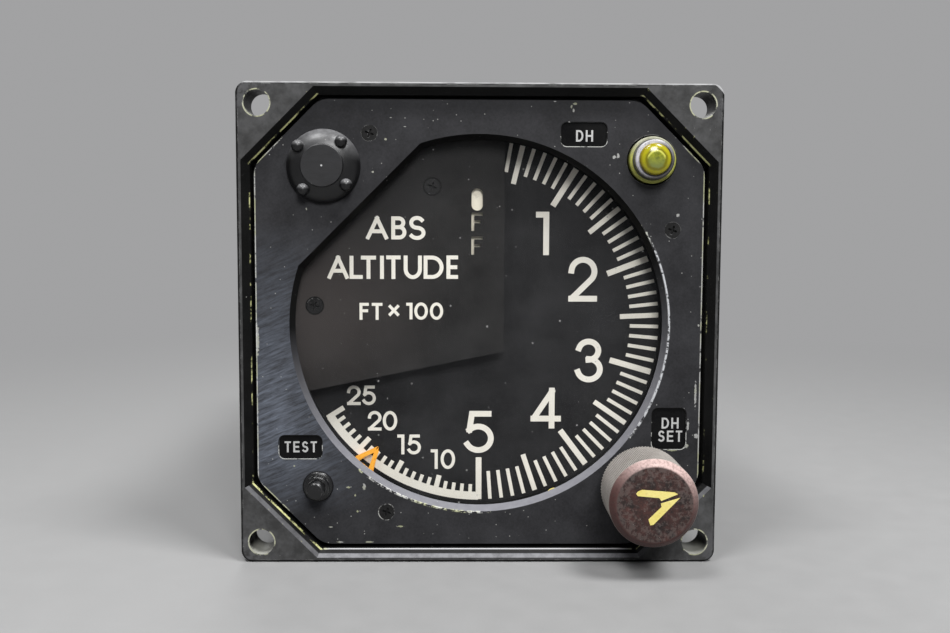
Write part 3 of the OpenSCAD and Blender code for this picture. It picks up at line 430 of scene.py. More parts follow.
def bezel_paint():
    made, tree, surface = surface_of("bezel_paint")
    place = place_of(tree)
    axes = split(tree, place)
    facing = normal_axes(tree)
    coat = skin(tree, place, (0.003, 0.003, 0.003), (0.006, 0.006, 0.006), 0.42, 0.35)
    # Handled front land, greyer than the recess; the recess bevels, which face away from the front, are
    # kept near black as painted shade
    cloud = span(tree, noise(tree, place, 0.35, 5.0, 0.65), 0.35, 0.65)
    land = tint(tree, cloud, (0.036, 0.036, 0.036), (0.074, 0.074, 0.075))
    colour = tint(tree, span(tree, facing[1], -0.9, -0.98), coat["Colour"], land)
    out_x = magnitude(tree, axes[0])
    out_z = magnitude(tree, axes[2])
    corner = span(tree, plus(tree, out_x, out_z), 74.0, 79.0)
    scuff = times(tree, corner, patches(tree, place, 0.5, 0.55))
    colour = over(tree, colour, scuff, 0.5, (0.10, 0.10, 0.105))
    streak = hairlines(tree, place, (0.25, 1.0, 2.6), 0.42)
    colour = over(tree, colour, streak, 0.3, (0.10, 0.10, 0.10))
    # Pale grey on the outer part of the bevels that face up: settled dust, and painted light where they
    # face the lamps above
    inner = octagon(tree, place, POCKET_HALF, POCKET_CUT)
    outward = span(tree, inner, 0.66, 0.76)
    within = span(tree, inner, BEVEL_W + 0.05, BEVEL_W)
    dust_and_lit_bevel = times(tree, dust_and_light_up(tree, place, 0.3, 0.68), outward, within)
    colour = over(tree, colour, dust_and_lit_bevel, 0.95, (0.20, 0.20, 0.212))
    # Primer that shows along the recess, and bare metal along its foot
    diagonal = span(tree, plus(tree, out_x, out_z), 65.5, 68.0)
    foot = times(tree, span(tree, axes[2], -38.6, -39.2), span(tree, out_x, 28.0, 26.0))
    left = times(tree, span(tree, axes[0], -38.6, -39.2), span(tree, axes[2], 30.0, 26.0))
    right = span(tree, axes[0], 38.6, 39.2)
    shares = ((diagonal, 0.92), (foot, 1.2), (left, 0.5), (right, 0.42))
    share = most(tree, *(times(tree, *pair) for pair in shares))
    line_w = plus(tree, times(tree, diagonal, 0.1), 0.12)
    line = span(tree, minus(tree, inner, line_w), 0.07, 0.0)
    line = times(tree, line, patches(tree, place, 0.3, share), span(tree, axes[1], -5.6, -5.68))
    rim = magnitude(tree, minus(tree, inner, BEVEL_W))
    rim_share = plus(tree, times(tree, diagonal, 0.16), 0.1)
    outer_line = times(tree, span(tree, rim, 0.2, 0.12), patches(tree, place, 0.7, rim_share))
    yellow = tint(tree, noise(tree, place, 1.3), (0.42, 0.43, 0.12), (0.62, 0.62, 0.38))
    primer = tint(tree, foot, yellow, (0.44, 0.44, 0.45))
    colour = over(tree, colour, most(tree, line, outer_line), 0.92, primer)
    # Rubbed rims of the corner holes
    hole_x = minus(tree, out_x, HOLE_AT)
    hole_z = minus(tree, out_z, HOLE_AT)
    hole = calc(tree, "SQRT", plus(tree, times(tree, hole_x, hole_x), times(tree, hole_z, hole_z)))
    ring = times(tree, span(tree, hole, HOLE_R + 0.24, HOLE_R + 0.14), span(tree, axes[1], -6.5, -6.75))
    ring = times(tree, ring, patches(tree, place, 0.45, 0.6))
    bare = tint(tree, noise(tree, place, 0.5), (0.32, 0.33, 0.14), (0.50, 0.50, 0.46))
    colour = tint(tree, ring, colour, bare)
    # The lower inside of each hole bore is painted pale: painted light where the bore faces up
    drop = times(tree, hole_z, calc(tree, "SIGN", axes[2]))
    painted_lit_bore = times(tree, span(tree, hole, HOLE_R + 0.04, HOLE_R + 0.02), span(tree, drop, -0.7, -1.7))
    colour = tint(tree, painted_lit_bore, colour, (0.30, 0.30, 0.27))
    # Pale line along the top edge and round its right corner: painted highlight, with bare metal at the
    # corner; thin wear along the other edges
    right_corner = span(tree, plus(tree, axes[0], axes[2]), 80.95, 81.1)
    lit_upper_side = most(tree, span(tree, axes[2], 41.1, 41.2), right_corner)
    painted_top_highlight = times(tree, lit_upper_side, span(tree, axes[1], -6.4, -6.6))
    painted_top_highlight = times(tree, painted_top_highlight, span(tree, noise(tree, place, 0.4, 4.0), 0.3, 0.55, 0.45, 1.0))
    colour = tint(tree, painted_top_highlight, colour, (0.30, 0.30, 0.305))
    outermost = span(tree, most(tree, out_x, out_z), 40.6, 41.0)
    worn = times(tree, rubbed(tree, place, 0.3, 0.55, 0.5), outermost)
    colour = over(tree, colour, worn, 0.7, (0.36, 0.36, 0.35))
    dust = specks(tree, place, 1.1, 0.14, 0.13)
    colour = over(tree, colour, dust, 0.5, (0.45, 0.45, 0.42))
    finish_skin(tree, surface, colour, coat["Rough"], coat["Normal"])
    surface["Specular IOR Level"].default_value = 0.12
    return made


def panel_paint():
    made, tree, surface = surface_of("panel_paint")
    place = place_of(tree)
    axes = split(tree, place)
    coat = skin(tree, place, (0.017, 0.017, 0.0185), (0.033, 0.033, 0.036), 0.55, 0.3)
    # Painted bluish sheen on the left, a reflection painted into the colour along brushed streaks,
    # strongest low down
    leftward = span(tree, axes[0], -18.0, -34.0)
    low = span(tree, axes[2], 18.0, -12.0)
    high = span(tree, axes[2], -34.0, -24.0)
    lean = {"Vector": place, "Rotation": (0.0, math.radians(24.0), 0.0)}
    slanted = add(tree, "ShaderNodeMapping", lean).outputs[0]
    brush = noise(tree, scaled(tree, slanted, (0.22, 1.0, 1.9)), 1.0, 6.0, 0.72)
    painted_sheen = times(tree, leftward, low, high, span(tree, brush, 0.38, 0.66, 0.15, 1.0))
    colour = tint(tree, painted_sheen, coat["Colour"], (0.125, 0.140, 0.172))
    lines = hairlines(tree, place, (2.6, 1.0, 0.3), 0.4)
    colour = over(tree, colour, lines, 0.3, (0.13, 0.13, 0.14))
    # Grey bare wall of the dial aperture, painted near black towards the top as painted shade
    reach = length(tree, flattened(tree, place))
    deep = span(tree, axes[1], -4.97, -4.9)
    wall = times(tree, deep, calc(tree, "LESS_THAN", reach, APERTURE_R + 0.25))
    drop = minus(tree, times(tree, axes[0], 0.2), axes[2])
    lit_below = span(tree, drop, -6.0, 18.0)
    grey = tint(tree, noise(tree, place, 0.8, 4.0), (0.150, 0.150, 0.168), (0.222, 0.222, 0.240))
    wall_colour_and_shade = tint(tree, lit_below, (0.006, 0.006, 0.006), grey)
    colour = tint(tree, wall, colour, wall_colour_and_shade)
    # Rubbed outer edge, barest on the left and the right
    edge = octagon(tree, place, PANEL_HALF, PANEL_CUT)
    sides = span(tree, magnitude(tree, axes[0]), 30.0, 36.0, 0.2, 0.74)
    under = span(tree, axes[2], 30.0, 36.0, 1.0, 0.75)
    worn = times(tree, span(tree, edge, -0.22, -0.12), patches(tree, place, 0.6, times(tree, sides, under)))
    # Chipped rim of the aperture, on the right and low on the left
    rim_out = span(tree, reach, APERTURE_R + 0.34, APERTURE_R + 0.18)
    rim_in = span(tree, reach, APERTURE_R - 0.4, APERTURE_R - 0.1)
    rim = times(tree, rim_out, rim_in)
    rightward = times(tree, span(tree, axes[0], 22.0, 29.0), span(tree, axes[2], 22.0, 12.0))
    lower_left = times(tree, span(tree, axes[2], -22.0, -27.0), span(tree, axes[0], 8.0, -2.0))
    rim_share = most(tree, times(tree, rightward, 0.7), times(tree, lower_left, 0.6))
    chipped = times(tree, rim, span(tree, axes[1], -4.72, -4.86), patches(tree, place, 1.5, rim_share))
    spots = [chip(tree, place, *spot) for spot in PANEL_CHIPS]
    primed = span(tree, noise(tree, place, 0.3), 0.45, 0.6)
    bare = tint(tree, primed, (0.62, 0.62, 0.60), (0.50, 0.51, 0.32))
    colour = over(tree, colour, worn, 0.7, bare)
    rim_bare = tint(tree, rightward, bare, (0.56, 0.57, 0.59))
    colour = over(tree, colour, chipped, 0.9, rim_bare)
    colour = over(tree, colour, most(tree, *spots), 0.5, bare)
    rings = rubbed(tree, place, 0.22, 0.7, 0.55)
    inside = times(tree, rings, span(tree, edge, -1.0, -1.4), span(tree, reach, 33.8, 34.2))
    colour = over(tree, colour, inside, 0.6, (0.42, 0.42, 0.40))
    # Bright ring round the low screw
    _, low_reach = around(tree, place, LOW_SCREW)
    bright_ring = span(tree, magnitude(tree, minus(tree, low_reach, 1.42)), 0.13, 0.05)
    bright_ring = times(tree, bright_ring, patches(tree, place, 0.5, 0.52))
    colour = over(tree, colour, bright_ring, 0.8, (0.50, 0.50, 0.47))
    dust = specks(tree, place, 1.25, 0.13, 0.15)
    colour = over(tree, colour, dust, 0.6, (0.50, 0.50, 0.48))
    finish_skin(tree, surface, colour, coat["Rough"], coat["Normal"])
    surface["Specular IOR Level"].default_value = 0.12
    return made


def mask_paint():
    made, tree, surface = surface_of("mask_paint")
    place = place_of(tree)
    coat = skin(tree, place, (0.009, 0.0088, 0.0088), (0.0195, 0.019, 0.0187), 0.6, 0.3)
    axes = split(tree, place)
    left = span(tree, axes[0], -6.0, -30.0)
    level = span(tree, magnitude(tree, minus(tree, axes[2], 4.0)), 20.0, 4.0)
    warm = times(tree, left, level)
    colour = over(tree, coat["Colour"], warm, 0.85, (0.046, 0.040, 0.038))
    # Dark rings round the mask screws: painted shade in the gap round each head
    rings = []
    for spot in MASK_SCREWS:
        _, reach = around(tree, place, spot)
        rings.append(span(tree, magnitude(tree, minus(tree, reach, 1.5)), 0.2, 0.1))
    colour = tint(tree, most(tree, *rings), colour, (0.004, 0.004, 0.004))
    dust = specks(tree, place, 0.55, 0.12, 0.13)
    colour = over(tree, colour, dust, 0.5, (0.4, 0.4, 0.38))
    finish_skin(tree, surface, colour, coat["Rough"], coat["Normal"])
    surface["Specular IOR Level"].default_value = 0.14
    return made


def dial_paint():
    made, tree, surface = surface_of("dial_paint")
    place = place_of(tree)
    coat = skin(tree, place, (0.008, 0.008, 0.0086), (0.020, 0.020, 0.021), 0.6, 0.25)
    swirl = hairlines(tree, place, (0.9, 1.0, 0.28), 0.36)
    colour = over(tree, coat["Colour"], swirl, 0.18, (0.12, 0.12, 0.12))
    dust = specks(tree, place, 0.5, 0.10, 0.12)
    colour = over(tree, colour, dust, 0.45, (0.4, 0.4, 0.38))
    finish_skin(tree, surface, colour, coat["Rough"], coat["Normal"])
    surface["Specular IOR Level"].default_value = 0.14
    return made


def window():
    made, tree, surface = surface_of("window")
    place = place_of(tree)
    swirl = hairlines(tree, place, (0.7, 1.0, 0.3), 0.4)
    dust = specks(tree, place, 0.62, 0.16, 0.15)
    haze = span(tree, noise(tree, place, 0.07, 5.0, 0.6), 0.35, 0.7, 0.002, 0.024)
    veil = plus(tree, haze, times(tree, swirl, 0.1))
    cover = calc(tree, "ADD", veil, times(tree, dust, 0.5), clamp=True)
    colour = tint(tree, dust, (0.20, 0.205, 0.215), (0.55, 0.55, 0.53))
    join(tree, surface["Base Color"], colour)
    join(tree, surface["Alpha"], cover)
    join(tree, surface["Roughness"], span(tree, swirl, 0.0, 1.0, 0.16, 0.3))
    return made


def figure_ivory(name, first, second):
    made, tree, surface = surface_of(name)
    place = place_of(tree)
    coat = skin(tree, place, first, second, 0.55, 0.3)
    grime = span(tree, noise(tree, place, 0.7, 5.0, 0.7), 0.62, 0.75)
    colour = over(tree, coat["Colour"], grime, 0.4, (0.40, 0.37, 0.30))
    finish_skin(tree, surface, colour, coat["Rough"], coat["Normal"])
    return made


def bug_orange():
    made, tree, surface = surface_of("bug_orange")
    place = place_of(tree)
    coat = skin(tree, place, (0.95, 0.36, 0.02), (0.98, 0.48, 0.05), 0.5, 0.4)
    blots = span(tree, noise(tree, place, 1.4, 4.0, 0.7), 0.56, 0.72)
    colour = over(tree, coat["Colour"], blots, 0.6, (0.62, 0.15, 0.02))
    finish_skin(tree, surface, colour, coat["Rough"], coat["Normal"])
    return made


def knob_brown():
    made, tree, surface = surface_of("knob_brown")
    place = place_of(tree)
    local, radius = around(tree, place, KNOB)
    axes = split(tree, local)
    coat = skin(tree, place, (0.026, 0.013, 0.0115), (0.072, 0.030, 0.025), 0.42, 0.7)
    blotch = span(tree, noise(tree, place, 0.42, 6.0, 0.7), 0.42, 0.6)
    face = over(tree, coat["Colour"], blotch, 0.9, (0.011, 0.009, 0.0085))
    grey = patches(tree, place, 1.7, span(tree, radius, 3.0, 6.2, 0.42, 0.68))
    face = over(tree, face, grey, 0.4, (0.13, 0.105, 0.097))
    flecks = specks(tree, place, 1.6, 0.2, 0.16)
    face = over(tree, face, flecks, 0.5, (0.50, 0.47, 0.44))
    # Rim tinted from dark brown low down to pale pink at the top: worn paint, with painted highlight
    # towards the top
    rim = span(tree, radius, 6.15, 6.4)
    lit_upper_side = span(tree, plus(tree, axes[2], times(tree, axes[0], 0.3)), -1.0, 6.6)
    pink = tint(tree, times(tree, lit_upper_side, lit_upper_side), (0.075, 0.033, 0.030), (0.50, 0.36, 0.335))
    rubbed_rim = times(tree, rim, span(tree, noise(tree, place, 2.4, 4.0, 0.65), 0.34, 0.56, 0.5, 1.0))
    colour = tint(tree, rubbed_rim, face, pink)
    side = times(tree, span(tree, radius, 6.7, 6.8), span(tree, axes[1], -17.98, -17.86))
    ridge = span(tree, radius, 7.16, 7.34)
    dull = span(tree, noise(tree, place, 0.5, 4.0), 0.35, 0.65, 0.7, 1.0)
    pale = tint(tree, dull, (0.20, 0.165, 0.15), (0.40, 0.375, 0.345))
    knurl = tint(tree, ridge, (0.026, 0.020, 0.018), pale)
    colour = tint(tree, side, colour, knurl)
    rough = plus(tree, coat["Rough"], times(tree, rim, 0.1))
    finish_skin(tree, surface, colour, rough, coat["Normal"])
    surface["Specular IOR Level"].default_value = 0.3
    return made


def arrow_yellow():
    made, tree, surface = surface_of("arrow_yellow")
    place = place_of(tree)
    coat = skin(tree, place, (0.70, 0.58, 0.13), (0.80, 0.70, 0.26), 0.5, 0.5)
    grime = span(tree, noise(tree, place, 1.6, 4.0, 0.7), 0.58, 0.74)
    colour = over(tree, coat["Colour"], grime, 0.5, (0.46, 0.33, 0.10))
    finish_skin(tree, surface, colour, coat["Rough"], coat["Normal"])
    return made


def satin_black(name, rough, colour, shade, share, level):
    made, tree, surface = surface_of(name)
    place = place_of(tree)
    coat = skin(tree, place, colour, shade, rough, 0.35)
    worn = rubbed(tree, place, 0.15, 0.9, share)
    colour = over(tree, coat["Colour"], worn, 0.6, (0.32, 0.32, 0.32))
    dust = specks(tree, place, 1.3, 0.12, 0.14)
    colour = over(tree, colour, dust, 0.4, (0.42, 0.42, 0.4))
    finish_skin(tree, surface, colour, coat["Rough"], coat["Normal"])
    surface["Specular IOR Level"].default_value = level
    return made


def cap_black():
    made, tree, surface = surface_of("cap_black")
    place = place_of(tree)
    _, radius = around(tree, place, CAP)
    coat = skin(tree, place, (0.0022, 0.0022, 0.0026), (0.0042, 0.0042, 0.0048), 0.33, 0.3)
    # Dull brushed hub with a small bright centre
    brush = noise(tree, scaled(tree, place, (0.5, 1.0, 1.6)), 1.0, 6.0, 0.72)
    hub_colour = tint(tree, span(tree, brush, 0.35, 0.65), (0.003, 0.003, 0.0038), (0.009, 0.009, 0.0105))
    hub = span(tree, radius, 3.6, 3.5)
    # Pale grey on what faces up: settled dust, and a painted highlight on the upper dome
    dust_and_highlight = dust_and_light_up(tree, place, 0.1, 0.8)
    colour = over(tree, coat["Colour"], dust_and_highlight, 0.85, (0.17, 0.17, 0.175))
    colour = tint(tree, hub, colour, hub_colour)
    colour = tint(tree, span(tree, radius, 0.2, 0.1), colour, (0.55, 0.55, 0.55))
    dust = specks(tree, place, 1.3, 0.12, 0.14)
    colour = over(tree, colour, dust, 0.4, (0.42, 0.42, 0.4))
    rough = plus(tree, coat["Rough"], times(tree, hub, 0.12))
    finish_skin(tree, surface, colour, rough, coat["Normal"])
    surface["Specular IOR Level"].default_value = 0.45
    return made


def lamp_metal():
    made, tree, surface = surface_of("lamp_metal")
    place = place_of(tree)
    local, radius = around(tree, place, LAMP)
    axes = split(tree, local)
    # Silver painted bright on the upper left and dark on the lower right: painted light and shade
    lit_upper_side = span(tree, minus(tree, axes[2], axes[0]), -3.5, 3.0)
    lit_and_shaded_silver = tint(tree, lit_upper_side, (0.07, 0.066, 0.07), (0.54, 0.53, 0.56))
    scratch = noise(tree, scaled(tree, place, (1.0, 1.0, 0.4)), 3.4, 5.0, 0.7)
    lit_and_shaded_silver = tint(tree, span(tree, scratch, 0.5, 0.66, 0.0, 0.6), lit_and_shaded_silver, (0.06, 0.06, 0.06))
    stain = tint(tree, noise(tree, place, 0.9, 4.0), (0.30, 0.31, 0.05), (0.46, 0.47, 0.12))
    stain = tint(tree, span(tree, axes[2], 0.5, 3.0), stain, (0.36, 0.36, 0.27))
    # Dark line painted in the groove between flange and silver: painted shade
    painted_groove_shade = times(tree, span(tree, radius, 3.28, 3.36), span(tree, radius, 3.56, 3.48))
    colour = tint(tree, span(tree, radius, 3.36, 3.46), lit_and_shaded_silver, stain)
    colour = over(tree, colour, painted_groove_shade, 0.85, (0.02, 0.02, 0.02))
    # Dark ring at the lens seat on the lower side: painted shade
    seat = times(tree, span(tree, radius, 2.98, 2.9), span(tree, lit_upper_side, 1.0, 0.4))
    colour = tint(tree, seat, colour, (0.015, 0.015, 0.013))
    join(tree, surface["Base Color"], colour)
    surface["Metallic"].default_value = 0.25
    join(tree, surface["Roughness"], span(tree, noise(tree, place, 2.0), 0.3, 0.7, 0.24, 0.42))
    return made


def lens_yellow():
    made, tree, surface = surface_of("lens_yellow")
    place = place_of(tree)
    local = moved(tree, place, (LAMP[0], 0.0, LAMP[1]))
    axes = split(tree, local)
    _, radius = around(tree, local, (0.1, -0.1))
    wobble = minus(tree, noise(tree, place, 1.3, 4.0, 0.65), 0.5)
    ring = plus(tree, radius, times(tree, wobble, 0.5))
    depth = tint(tree, span(tree, wobble, -0.14, 0.14), (0.10, 0.115, 0.008), (0.28, 0.30, 0.020))
    middle = tint(tree, span(tree, axes[2], -1.2, 0.6), (0.17, 0.20, 0.05), depth)
    band = tint(tree, span(tree, ring, 1.25, 1.6), middle, (0.15, 0.135, 0.002))
    outer = tint(tree, span(tree, ring, 1.75, 2.1), band, (0.34, 0.31, 0.004))
    edge = span(tree, radius, 2.3, 2.62)
    colour = tint(tree, edge, outer, (0.25, 0.20, 0.003))
    # Bright arc in the lens towards the top: painted highlight
    arc_line = span(tree, magnitude(tree, minus(tree, ring, 1.45)), 0.2, 0.08)
    painted_glint = times(tree, arc_line, span(tree, axes[2], -0.1, 0.5))
    colour = over(tree, colour, painted_glint, 0.7, (0.62, 0.62, 0.12))
    join(tree, surface["Base Color"], colour)
    surface["Roughness"].default_value = 0.14
    return made


def legend_white():
    made, tree, surface = surface_of("legend_white")
    place = place_of(tree)
    coat = skin(tree, place, (0.38, 0.38, 0.375), (0.52, 0.52, 0.51), 0.5, 0.3)
    finish_skin(tree, surface, coat["Colour"], coat["Rough"], coat["Normal"])
    return made


def legend_black():
    made, tree, surface = surface_of("legend_black")
    place = place_of(tree)
    coat = skin(tree, place, (0.004, 0.004, 0.0045), (0.008, 0.008, 0.008), 0.3, 0.2)
    lines = hairlines(tree, place, (0.6, 1.0, 1.8), 0.3)
    colour = over(tree, coat["Colour"], lines, 0.3, (0.2, 0.2, 0.2))
    finish_skin(tree, surface, colour, coat["Rough"], coat["Normal"])
    surface["Specular IOR Level"].default_value = 0.06
    return made


def rim_wear_and_light():
    made, tree, surface = surface_of("rim_wear_and_light")
    place = place_of(tree)
    axes = split(tree, place)
    feet = []
    # Pale chips round the legend windows: wear, denser towards the bottom of each rim as painted light
    # where it faces up
    for (x, z), (wide, high), _ in LEGENDS.values():
        aside = minus(tree, axes[0], x)
        rise = minus(tree, axes[2], z)
        near = span(tree, magnitude(tree, aside), wide / 2 + 0.6, wide / 2 + 0.4)
        level = span(tree, magnitude(tree, rise), high / 2 + 0.6, high / 2 + 0.4)
        bare = span(tree, rise, high * 0.35, -high * 0.45, 0.25, 0.72)
        feet.append(times(tree, near, level, bare))
    chips = patches(tree, place, 0.7, most(tree, *feet))
    colour = tint(tree, chips, (0.006, 0.006, 0.006), (0.46, 0.46, 0.44))
    join(tree, surface["Base Color"], colour)
    join(tree, surface["Roughness"], span(tree, chips, 0.0, 1.0, 0.45, 0.6))
    surface["Specular IOR Level"].default_value = 0.14
    return made


# Finishes of the inside and the back


def plain_metal(name, colour, shade, rough, stretch=(1.0, 0.08, 1.0), scale=4.0):
    made, tree, surface = surface_of(name)
    place = place_of(tree)
    drawn = noise(tree, scaled(tree, place, stretch), scale, 4.0, 0.6)
    blot = noise(tree, place, 0.2, 3.0)
    mixed = plus(tree, times(tree, drawn, 0.5), times(tree, blot, 0.5))
    join(tree, surface["Base Color"], tint(tree, span(tree, mixed, 0.35, 0.65), colour, shade))
    join(tree, surface["Metallic"], 1.0)
    join(tree, surface["Roughness"], span(tree, mixed, 0.3, 0.7, rough - 0.08, rough + 0.08))
    bump = add(tree, "ShaderNodeBump", {"Height": drawn, "Strength": 0.15, "Distance": 0.00003})
    join(tree, surface["Normal"], bump.outputs[0])
    return made


def moulded(name, colour, shade, rough, grain=0.3):
    made, tree, surface = surface_of(name)
    place = place_of(tree)
    coat = skin(tree, place, colour, shade, rough, grain)
    dust = specks(tree, place, 1.1, 0.08, 0.12)
    mixed = over(tree, coat["Colour"], dust, 0.3, (0.5, 0.5, 0.47))
    finish_skin(tree, surface, mixed, coat["Rough"], coat["Normal"])
    return made


def bulb_glass():
    made, tree, surface = surface_of("bulb")
    place = place_of(tree)
    haze = noise(tree, place, 0.8, 3.0)
    join(tree, surface["Base Color"], tint(tree, haze, (0.75, 0.75, 0.70), (0.86, 0.86, 0.82)))
    join(tree, surface["Roughness"], span(tree, haze, 0.3, 0.7, 0.05, 0.14))
    surface["Transmission Weight"].default_value = 0.9
    return made


CASE_BLACK = (0.0165, 0.0165, 0.017)
CASE_SHADE = (0.0235, 0.0235, 0.0245)
BUTTON_BLACK = (0.004, 0.004, 0.0045)
BUTTON_SHADE = (0.008, 0.008, 0.0085)
SCREW_SHADE = (0.013, 0.013, 0.013)
RING_BLACK = (0.005, 0.005, 0.005)
RING_SHADE = (0.010, 0.010, 0.010)
IVORY = (0.76, 0.735, 0.665)

FINISHES = {
    "bezel_paint": bezel_paint(),
    "panel_paint": panel_paint(),
    "case_paint": satin_black("case_paint", 0.5, CASE_BLACK, CASE_SHADE, 0.4, 0.35),
    "black_screw": satin_black("black_screw", 0.45, RING_BLACK, SCREW_SHADE, 0.3, 0.2),
    "steel": plain_metal("steel", (0.50, 0.50, 0.50), (0.64, 0.64, 0.63), 0.3),
    "plate_alu": plain_metal("plate_alu", (0.58, 0.58, 0.56), (0.70, 0.70, 0.68), 0.42, (0.1, 1.0, 1.0)),
    "brass": plain_metal("brass", (0.60, 0.43, 0.16), (0.74, 0.55, 0.24), 0.32),
    "window": window(),
    "gasket": moulded("gasket", (0.012, 0.012, 0.012), (0.022, 0.022, 0.022), 0.8),
    "mask_paint": mask_paint(),
    "dial_paint": dial_paint(),
    "bug_orange": bug_orange(),
    "ivory": figure_ivory("ivory", (0.74, 0.69, 0.55), (0.82, 0.77, 0.64)),
    "motor_can": plain_metal("motor_can", (0.36, 0.36, 0.38), (0.48, 0.48, 0.49), 0.38),
    "pot_body": moulded("pot_body", (0.05, 0.07, 0.15), (0.08, 0.10, 0.19), 0.45),
    "knob_brown": knob_brown(),
    "cap_black": cap_black(),
    "lamp_metal": lamp_metal(),
    "lens_yellow": lens_yellow(),
    "bulb": bulb_glass(),
    "button_black": satin_black("button_black", 0.24, BUTTON_BLACK, BUTTON_SHADE, 0.5, 0.4),
    "moulding": moulded("moulding", (0.024, 0.024, 0.026), (0.04, 0.04, 0.042), 0.5),
    "board": moulded("board", (0.03, 0.11, 0.05), (0.05, 0.16, 0.07), 0.4, 0.5),
    "connector_olive": plain_metal("connector_olive", (0.20, 0.19, 0.09), (0.29, 0.27, 0.14), 0.45),
}
FIGURE_PAINT = figure_ivory("figure_paint", (0.71, 0.68, 0.60), IVORY)
SCALE_PAINT = figure_ivory("scale_paint", (0.70, 0.67, 0.59), (0.78, 0.75, 0.67))
LEGEND_WHITE = legend_white()
LEGEND_BLACK = legend_black()
ARROW_YELLOW = arrow_yellow()
RIM_WEAR_AND_LIGHT = rim_wear_and_light()
RING_PAINT = satin_black("ring_black", 0.5, RING_BLACK, RING_SHADE, 0.1, 0.2)

for part in frame["record"]["subparts"]:
    mesh = nodes[part["node"]].data
    mesh.materials.clear()
    mesh.materials.append(RING_PAINT if part["node"] == "bug_ring" else FINISHES[part["material_slot"]])


# Pieces


def piece_of(name, bm, finish, body, replaced=None, smooth_deg=None):
    bmesh.ops.recalc_face_normals(bm, faces=bm.faces[:])
    mesh = bpy.data.meshes.new(name)
    bm.to_mesh(mesh)
    bm.free()
    mesh.materials.append(finish)
    if smooth_deg:
        mesh.shade_smooth()
        mesh.set_sharp_from_angle(angle=math.radians(smooth_deg))
    made = bpy.data.objects.new(name, mesh)
    bpy.context.scene.collection.objects.link(made)
    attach(made, body)
    if replaced:
        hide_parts(replaced)
    return made


def at(x, y, z):
    return Vector((x, y, z)) * MM


def spin_profile(bm, centre, profile, steps):
    ring = [bm.verts.new(at(centre[0] + r, y, centre[1])) for r, y in profile]
    edges = [bm.edges.new(pair) for pair in zip(ring, ring[1:])]
    bmesh.ops.spin(
        bm,
        geom=ring + edges,
        cent=at(centre[0], 0.0, centre[1]),
        axis=(0.0, 1.0, 0.0),
        angle=2.0 * math.pi,
        steps=steps,
        use_merge=True,
        use_duplicate=False,
    )
    bmesh.ops.remove_doubles(bm, verts=bm.verts[:], dist=0.002 * MM)


def arc(cx, cz, rx, rz, start, end, steps=18):
    turn = [math.radians(start + (end - start) * i / steps) for i in range(steps + 1)]
    return [(cx + rx * math.cos(t), cz + rz * math.sin(t)) for t in turn]


# Letters and figures as centre lines in a unit box, drawn with square ends
STEM = [(0.0, 0.0), (0.0, 1.0)]
TOP_BAR = [(0.0, 1.0), (1.0, 1.0)]
FOOT_BAR = [(0.0, 0.0), (1.0, 0.0)]
GLYPHS = {
    "0": [arc(0.5, 0.5, 0.5, 0.5, 0, 360, 40)],
    "1": [[(1.0, 0.0), (1.0, 1.0), (0.0, 1.0)]],
    "2": [arc(0.5, 0.70, 0.5, 0.30, 176, -38, 22) + [(0.13, 0.07)], FOOT_BAR],
    "3": [arc(0.48, 0.76, 0.44, 0.24, 165, -90, 22), arc(0.5, 0.27, 0.5, 0.27, 90, -165, 22)],
    "4": [[(0.74, 0.97), (0.06, 0.26)], [(0.0, 0.2), (1.0, 0.2)], [(0.74, 1.0), (0.74, 0.0)]],
    "5": [[(0.9, 1.0), (0.2, 1.0), (0.1, 0.56)], arc(0.47, 0.325, 0.53, 0.325, 135, -150, 26)],
    "A": [[(0.0, 0.0), (0.5, 1.0)], [(0.5, 1.0), (1.0, 0.0)], [(0.2, 0.32), (0.8, 0.32)]],
    "B": [
        STEM,
        [(0.0, 1.0), (0.5, 1.0)] + arc(0.5, 0.77, 0.4, 0.23, 80, -90, 12) + [(0.0, 0.54)],
        [(0.0, 0.54), (0.55, 0.54)] + arc(0.55, 0.27, 0.45, 0.27, 80, -90, 12) + [(0.0, 0.0)],
    ],
    "D": [STEM, [(0.0, 1.0), (0.4, 1.0)] + arc(0.4, 0.5, 0.6, 0.5, 85, -90, 20) + [(0.0, 0.0)]],
    "E": [STEM, TOP_BAR, [(0.0, 0.5), (0.9, 0.5)], FOOT_BAR],
    "F": [STEM, TOP_BAR, [(0.0, 0.54), (0.88, 0.54)]],
    "H": [STEM, [(1.0, 0.0), (1.0, 1.0)], [(0.0, 0.5), (1.0, 0.5)]],
    "I": [[(0.5, 1.0), (0.5, 0.0)]],
    "L": [[(0.0, 1.0), (0.0, 0.0), (1.0, 0.0)]],
    "S": [arc(0.5, 0.755, 0.44, 0.245, 35, 255, 18) + arc(0.5, 0.255, 0.5, 0.255, 75, -145, 18)],
    "T": [TOP_BAR, [(0.5, 1.0), (0.5, 0.0)]],
    "U": [[(0.0, 1.0)] + arc(0.5, 0.42, 0.5, 0.42, 180, 360, 20) + [(1.0, 1.0)]],
    "x": [[(0.0, 0.0), (1.0, 1.0)], [(0.0, 1.0), (1.0, 0.0)]],
}

# Figures of the dial: middle across and up, width and height
LARGE_FIGURES = {
    "1": (11.33, 15.97, 2.38, 7.73),
    "2": (18.67, 7.80, 5.17, 8.03),
    "3": (19.93, -6.89, 5.08, 7.94),
    "4": (12.23, -15.59, 5.51, 7.45),
    "5": (0.14, -19.98, 5.35, 7.71),
}
SMALL_FIGURES = {
    "25": (-21.12, -13.30, 5.19, 3.57),
    "20": (-17.32, -17.95, 5.30, 3.58),
    "15": (-12.53, -22.29, 4.27, 3.64),
    "10": (-6.40, -24.99, 4.43, 3.61),
}
SMALL_FIGURE_W = {"0": 2.62, "1": 1.28, "2": 2.45, "5": 2.45}

